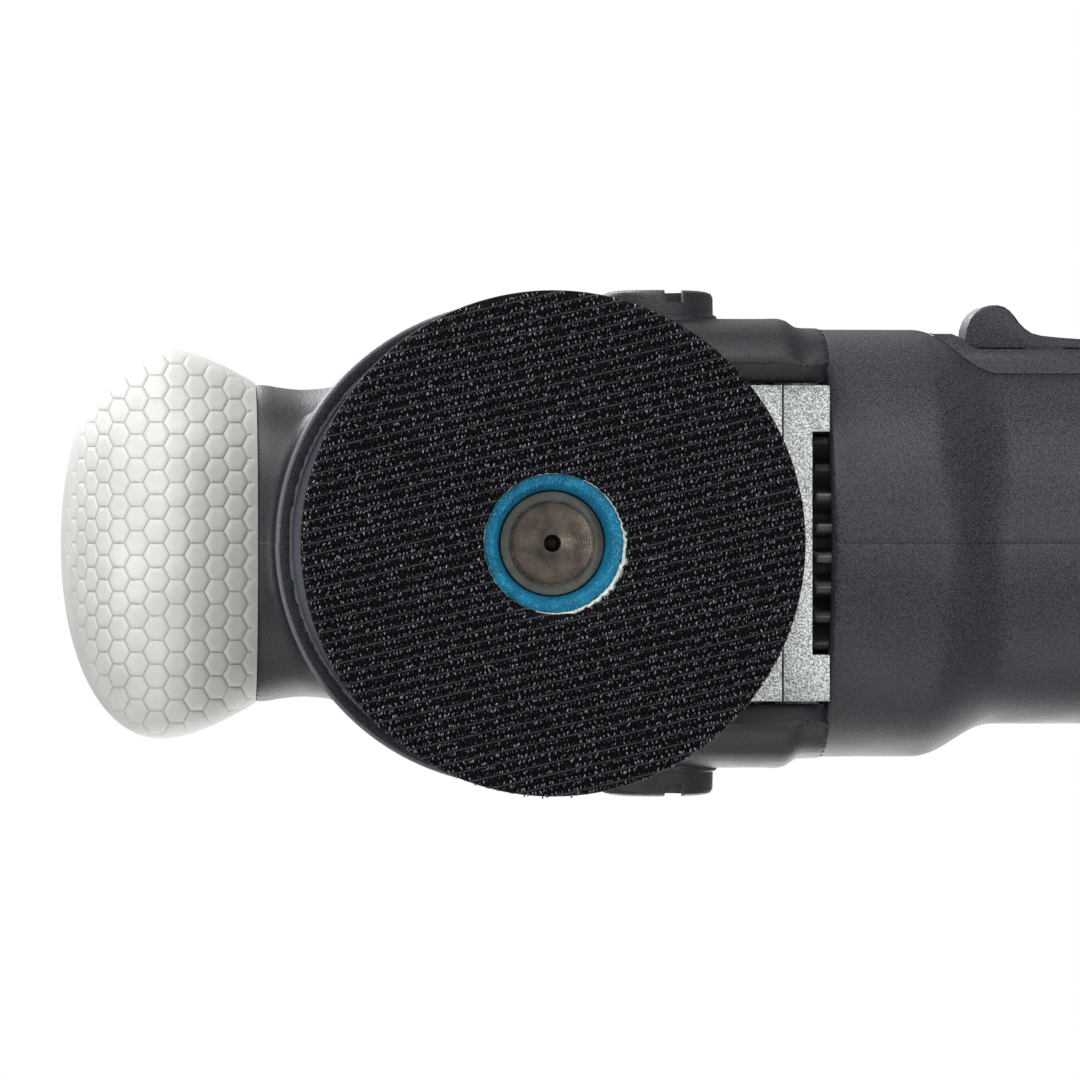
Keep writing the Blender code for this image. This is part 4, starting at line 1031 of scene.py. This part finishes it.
def makePadPlate():
    # the boss that shows in the pad's middle, and the plate behind the foam
    profile = [
        (1.2, 8.95), (1.22, 9.6), (1.3, 10.1), (1.5, 10.34), (1.9, 10.42), (9.75, 10.42), (9.78, 10.9),
        (9.8, 32.6), (10.1, 33), (12, 33), (12.6, 32.8), (13, 32.2), (13, 12.7), (13.3, 12.2), (16.2, 11.3),
        (16.6, 11), (16.6, 7.88), (5.4, 7.88), (4.2, 8.1), (2.3, 8.35), (1.5, 8.6),
    ]
    shape = turnedShape(profile, padMiddle, zAxis, 220)
    for vert in shape.verts:
        # the cut edge round the boss isn't quite round
        away = Vector((vert.co.x - padCentre.x, vert.co.y - padCentre.y, 0))
        if 9.9 * mm < away.length < 10.5 * mm and vert.co.z < 2 * mm:
            vert.co += away.normalized() * 0.3 * mm * noise.noise(away.normalized() * 9)
    showPiece("padPlate", shape, "pad", bluePlate, ["pad_plate"], crease=35)


def makePadInsert():
    # a steel insert faced on a lathe: a disc with a drilled centre, and a flange sunk round it
    profile = [
        (4.22, 1.3), (4.25, 1.5), (4.45, 2.2), (4.52, 3.4), (4.5, 4.6), (4.56, 5.6), (4.62, 6.1),
        (4.72, 6.26),
        (4.85, 6.34), (4.9, 7.6), (5.05, 7.76), (5.5, 7.8), (16.6, 7.8), (17, 7.4), (17, 4.3), (9.5, 4.3),
        (9.5, 0), (8.9, 0), (8.2, 1.05), (4.5, 1.2),
    ]
    shape = turnedShape(profile, padMiddle, zAxis, 128)
    showPiece("padInsert", shape, "pad", facedSteel, ["pad_insert"], crease=35)


def makeBurr():
    # a thin bright burr that the lathe tool left round the disc
    edge = [(4.62, 6.2), (4.48, 6.27), (4.6, 6.36), (4.95, 6.34)]
    shape = turnedShape(edge, padMiddle, zAxis, 240)
    for vert in shape.verts:
        away = Vector((vert.co.x - padCentre.x, vert.co.y - padCentre.y, 0)).normalized()
        vert.co += away * 0.12 * mm * noise.noise(away * 12)
        vert.co.z -= 0.1 * mm * noise.noise(away * 20)
    showPiece("insertBurr", shape, "pad", brightBurr, crease=60)


def makeGlueEdge():
    # torn glue round the boss: a low bead whose width and height wander
    inner, base = 10.3, 1.5
    bead = [(0.0, inner), (0.75, inner + 0.1), (1.0, inner + 0.5), (0.75, inner + 0.85), (0.0, inner + 1)]
    shape = turnedShape(bead, padMiddle, zAxis, 260)
    for vert in shape.verts:
        flat = vert.co - padMiddle
        radius = math.hypot(flat.x, flat.y) / mm
        angle = math.atan2(-flat.y, flat.x)    # counted as seen from below
        across, up = radius - inner, flat.z / mm
        side = max(0.0, math.cos(angle + math.radians(28))) ** 1.5
        wander = noise.noise(Vector((math.cos(angle) * 4, math.sin(angle) * 4, 2.0)))
        fine = noise.noise(Vector((math.cos(angle) * 17, math.sin(angle) * 17, 7.0)))
        width = max(0.05, 0.04 + 0.9 * side + 0.3 * wander + 0.25 * fine)
        height = max(0.05, 0.2 + 0.65 * side + 0.3 * wander + 0.25 * fine)
        radius = inner + 0.15 * fine + across * width
        place = Vector((math.cos(angle) * radius, -math.sin(angle) * radius, base - up * height))
        vert.co = padMiddle + place * mm
    bmesh.ops.recalc_face_normals(shape, faces=shape.faces)
    showPiece("glueEdge", shape, "pad", driedGlue, crease=60)


makePadFoam()
makePadPlate()
makePadInsert()
makeBurr()
makeGlueEdge()
print("pad done")


# what shows at the sides and the rear
def makeSwitch():
    # a raised rim with a ramp in front, cut to the housing's surface
    ramp = [
        (60, -20), (60, -33.5), (72, -33.4), (73.4, -32.7), (74.9, -31.2), (76, -30.8), (112, -30.8),
        (112, -20),
    ]
    section = [(-20, 58.7), (-26.4, 58.9), (-29.6, 60.2), (-31.8, 62.6), (-33.4, 65.0)]
    section += [(across, 2 * motorHeight - up) for across, up in reversed(section)]
    places = [45, *range(50, 66), *shoulderPlaces, 90, 120, 160]
    grown = [(45, 0)] + [(x, housingRadius(x) + 0.1) for x in places] + [(160, 0)]
    steps = [
        ("INTERSECT", sheetShape(section, 60, 112, "YZ")),
        ("DIFFERENCE", turnedShape(grown, fromSpindle(0, 0, motorHeight), xAxis, 160)),
        ("DIFFERENCE", boxShape((68.8, -40, 64.9), (97.6, -20, 75.1), 0.4)),
    ]
    mesh = carve(sheetShape(ramp, 55, 85, "XY"), steps, bevel=0.45 * mm, name="switchBezel", segments=3)
    showPiece("switchBezel", mesh, "body", switchNylon, ["switch_bezel"], crease=32)

    slider = [
        (74.3, -30.9), (74.35, -32.4), (74.6, -34.2), (75.1, -35.6), (75.9, -36.7), (77, -37.5),
        (78.3, -37.9), (79.5, -37.95), (80.6, -37.7), (81.5, -37.1), (82.3, -36.2), (83.1, -35.1),
        (84, -34.2), (85.1, -33.5), (86.6, -33.1), (89.5, -32.8), (94, -32.5), (94, -30.9), (90, -30.9),
        (90, -29.2), (84, -29.2), (84, -30.9),
    ]
    shape = sheetShape(slider, 65.3, 74.7, "XY")
    mesh = carve(shape, [], bevel=0.4 * mm, name="switchSlider", segments=3, bevelAngle=40)
    showPiece("switchSlider", mesh, "switch", housingNylon, ["switch_slider"], crease=32)


def makeBrushCaps():
    for label, sign in (("top", 1), ("bottom", -1)):
        profile = [
            (25.4, 0), (25.4, 5.95), (28, 5.95), (28.5, 5.8), (28.75, 5.45), (28.8, 5), (28.6, 4.3),
            (28.6, 0),
        ]
        x = housing["brushes"]
        shape = turnedShape(profile, fromSpindle(x, 0, motorHeight), (0, 0, sign), 64)
        bottom, top = motorHeight + sign * 27.2, motorHeight + sign * 30
        slot = boxShape((x - 4.2, -0.65, bottom), (x + 4.2, 0.65, top))
        name = "brushCap" + label.capitalize()
        mesh = carve(shape, [("DIFFERENCE", slot)], bevel=0.15 * mm, name=name)
        showPiece(name, mesh, "body", switchNylon, ["brush_cap_" + label], crease=32)


def makeScrews():
    # pan heads with a cross recess, sunk in the handle
    for number, (x, z) in enumerate(housing["screws"], 1):
        profile = [
            (-14.9, 0), (-14.95, 1.4), (-14.75, 2.4), (-14.3, 2.9), (-13.6, 3.0), (-12.8, 2.95), (-12.8, 1.5),
            (9, 1.5), (10, 0.8), (10, 0),
        ]
        shape = turnedShape(profile, fromSpindle(x, 0, z), yAxis, 40)
        cross = [
            ("DIFFERENCE", boxShape((x - 1.5, -16, z - 0.3), (x + 1.5, -13.6, z + 0.3))),
            ("DIFFERENCE", boxShape((x - 0.3, -16, z - 1.5), (x + 0.3, -13.6, z + 1.5))),
        ]
        name = "housingScrew" + str(number)
        mesh = carve(shape, cross, name=name)
        showPiece(name, mesh, "body", bearingSteel, ["housing_screw_" + str(number)], crease=32)


def makeInserts():
    # brass inserts of the side handle, with a thread's crests inside
    for label, side in (("left", -1), ("right", 1)):
        profile = [(29.8, 5.45), (36.6, 5.45), (37.0, 5.1), (37.0, 4.6), (36.6, 4.05)]
        place = 36.2
        while place > 30.6:
            profile += [(place, 3.95), (place - 0.4, 4.35), (place - 0.8, 3.95)]
            place -= 1.25
        profile += [(29.8, 4.0)]
        x, z = headCover["boss"]
        name = "handleInsert" + label.capitalize()
        shape = turnedShape(profile, fromSpindle(x, 0, z), (0, side, 0), 48)
        showPiece(name, shape, "body", brassMetal, ["handle_insert_" + label], crease=32)


speedDial = {"teeth": 60, "radius": 11.0, "half": 2.5, "place": (186, 89.6)}


def makeSpeedDial():
    # a thumb wheel with a toothed edge and a sunk face on both sides
    count, radius, half = speedDial["teeth"], speedDial["radius"], speedDial["half"]
    x, z = speedDial["place"]
    shape = bmesh.new()
    ring = bmesh.ops.create_circle(shape, segments=count * 4, radius=radius * mm)["verts"]
    for index, vert in enumerate(ring):
        if index % 4 in (2, 3):
            vert.co *= (radius - 0.55) / radius
    face = bmesh.ops.edgeloop_fill(shape, edges=shape.edges)["faces"][0]
    grown = bmesh.ops.extrude_face_region(shape, geom=[face])["geom"]
    moved = [item for item in grown if isinstance(item, bmesh.types.BMVert)]
    bmesh.ops.translate(shape, vec=(0, 0, 2 * half * mm), verts=moved)
    bmesh.ops.recalc_face_normals(shape, faces=shape.faces)
    caps = [face for face in shape.faces if len(face.verts) > 8]
    bmesh.ops.inset_region(shape, faces=caps, thickness=1.6 * mm, depth=0)
    bmesh.ops.inset_region(shape, faces=caps, thickness=0.3 * mm, depth=-0.5 * mm)
    place = Matrix.Translation(fromSpindle(x, 0, z)) @ Matrix.Rotation(math.radians(90), 4, "X")
    place = place @ Matrix.Translation((0, 0, -half * mm))
    bmesh.ops.transform(shape, matrix=place, verts=shape.verts)
    showPiece("speedDial", shape, "dial", fanNylon, ["speed_dial"], crease=32)


def makeCordGland():
    # the cord's rubber bush: a collar and ribs on a taper
    profile = [(208.8, 4.1), (208.8, 8.9), (211.2, 8.9), (211.2, 6.1), (214.1, 6.1), (214.1, 7.4)]
    profile += [(215.2, 7.4)]
    for rib in range(4):
        place = 215.6 + rib * 2.5
        size = 6.9 - rib * 0.35
        root = size - 0.75
        profile += [(place, root), (place + 0.7, root), (place + 0.9, size), (place + 2, size - 0.1)]
    profile += [(225.6, 5.2), (226, 4.9), (226, 4.1)]
    shape = turnedShape(profile, fromSpindle(0, 0, motorHeight), xAxis, 64)
    showPiece("cordGland", shape, "body", blackRubber, ["cord_gland"], crease=32)


makeSwitch()
makeBrushCaps()
makeScrews()
makeInserts()
makeSpeedDial()
makeCordGland()
refined("counterweight", "counterweight", "spindle", laminations, 0.5 * mm, 3)
refined("orbitSpindle", "orbit_spindle", "pad", gearSteel, 0.3 * mm, 2)
refined("bearingCover", "bearing_cover", "body", castingPaint, 0.4 * mm, 2)
print("switch, screws, inserts, dial and gland done")


# CAD pieces that keep their shape
finishes = {
    "steel": bearingSteel, "dark_steel": laminations, "copper": wireCopper, "brass": brassMetal,
    "carbon": carbonBlock, "grey_plastic": fanNylon, "black_shell": housingNylon, "black_rubber": blackRubber,
    "silver_paint": castingPaint, "board": boardLaminate, "blue_plastic": bluePlate,
    "white_rubber": whiteRubber, "hook_fabric": hookGround, "pad_foam": cutFoam,
}
ownFinish = {
    "crown_gear": gearSteel, "pinion": gearSteel, "main_spindle": gearSteel, "armature_shaft": bearingSteel,
    "field_stack": laminations, "armature_core": laminations, "commutator": brassMetal,
    "rear_bearing_boot": blackRubber, "switch_module": switchNylon,
}


def finishNodes():
    for name, piece in nodes.items():
        for slot in piece.material_slots:
            slot.material = ownFinish.get(name) or finishes.get(slot.name.split(".")[0], fanNylon)


finishNodes()
print("CAD pieces finished")


# camera, light and floor
view = {
    "tilt": 0.07,        # the camera looks up, a little towards the rear
    "distance": 0.9,
    "lens": 203,
    "aimX": -2.14,       # from the pad's middle, in millimetres
    "aimY": -0.5,
}


def makeCamera():
    camera = linkObject("camera", bpy.data.cameras.new("camera"))
    camera.data.lens = view["lens"]
    camera.data.sensor_width = 36
    camera.data.clip_start = 0.02
    along = Vector((view["tilt"], 0, 1)).normalized()
    up = Vector((0, -1, 0))
    right = up.cross(-along)
    aim = Vector((padCentre.x + view["aimX"] * mm, view["aimY"] * mm, 0))
    place = Matrix((right, up, -along)).transposed().to_4x4()
    place.translation = aim - along * view["distance"]
    camera.matrix_world = place
    bpy.context.scene.camera = camera


# each lamp's place, target, width and watts
lights = {
    "keyBelow": ((-0.15, -0.72, -0.5), (0, 0, 0.04), 0.35, 3.0),
    "sideBelow": ((-0.4, -0.85, -0.15), (0, 0, 0.04), 0.45, 3.4),
    "leftBelow": ((-0.85, 0.1, -0.45), (-0.05, 0, 0.04), 0.5, 3.3),
    "fillBelow": ((0, 0.8, -0.3), (0, 0, 0.04), 0.8, 2.1),
    "rearBelow": ((0.34, -0.05, -0.75), (0.12, 0, 0.04), 0.15, 2.0),
    "keyAbove": ((-0.45, -0.6, 0.85), (0, 0, 0.05), 0.7, 11),
    "fillAbove": ((0.1, 0.45, 0.95), (0, 0, 0.05), 0.8, 4.5),
}


def makeLight(name, place, target, size, power):
    lamp = bpy.data.lights.new(name, "AREA")
    lamp.shape = "DISK"
    lamp.size = size
    lamp.energy = power
    light = linkObject(name, lamp)
    light.location = place
    light.rotation_euler = (Vector(target) - Vector(place)).to_track_quat("-Z", "Y").to_euler()


def makeFloor():
    # pale and matt from above; its underside lets the camera see the pad
    shape = bmesh.new()
    bmesh.ops.create_grid(shape, x_segments=1, y_segments=1, size=3)
    bmesh.ops.translate(shape, vec=(0, 0, -1.0 * mm), verts=shape.verts)
    floor = linkObject("floor", meshOf(shape, "floor"))
    made, tree = startMaterial("paleMattFloor")
    place = addNode(tree, "TexCoord")["Object"]
    clouds = {"Vector": place, "Scale": 1 / (60 * mm), "Detail": 3, "Roughness": 0.6}
    cloud = addNode(tree, "TexNoise", clouds)["Fac"]
    tone = addNode(tree, "ValToRGB", {"Fac": cloud}, [(0.35, "EFEFEE"), (0.65, "F2F2F1")])["Color"]
    shader = tree.nodes[principled]
    setInputs(shader, {"Base Color": tone, "Roughness": 0.7, "IOR": 1.5})
    under = addNode(tree, "NewGeometry")["Backfacing"]
    clear = addNode(tree, "BsdfTransparent")["BSDF"]
    mixed = addNode(tree, "MixShader", {0: under, 1: shader.outputs["BSDF"], 2: clear})["Shader"]
    setInputs(tree.nodes["Material Output"], {"Surface": mixed})
    floor.data.materials.append(made)
    floor.visible_diffuse = False
    floor.visible_glossy = False
    floor.visible_shadow = False


def makeWorld():
    world = bpy.data.worlds.new("studio")
    world.use_nodes = True
    bpy.context.scene.world = world
    tree = world.node_tree
    seen = addNode(tree, "LightPath")["Is Camera Ray"]
    level = addNode(tree, "MapRange", {"Value": seen, "To Min": 0.35, "To Max": 1.0})["Result"]
    setInputs(tree.nodes["Background"], {"Strength": level, "Color": hexColour("FFFFFF")})


makeCamera()
makeFloor()
makeWorld()
for lampName, settings in lights.items():
    makeLight(lampName, *settings)
bpy.context.scene.view_settings.view_transform = "Standard"

print("scene ready")
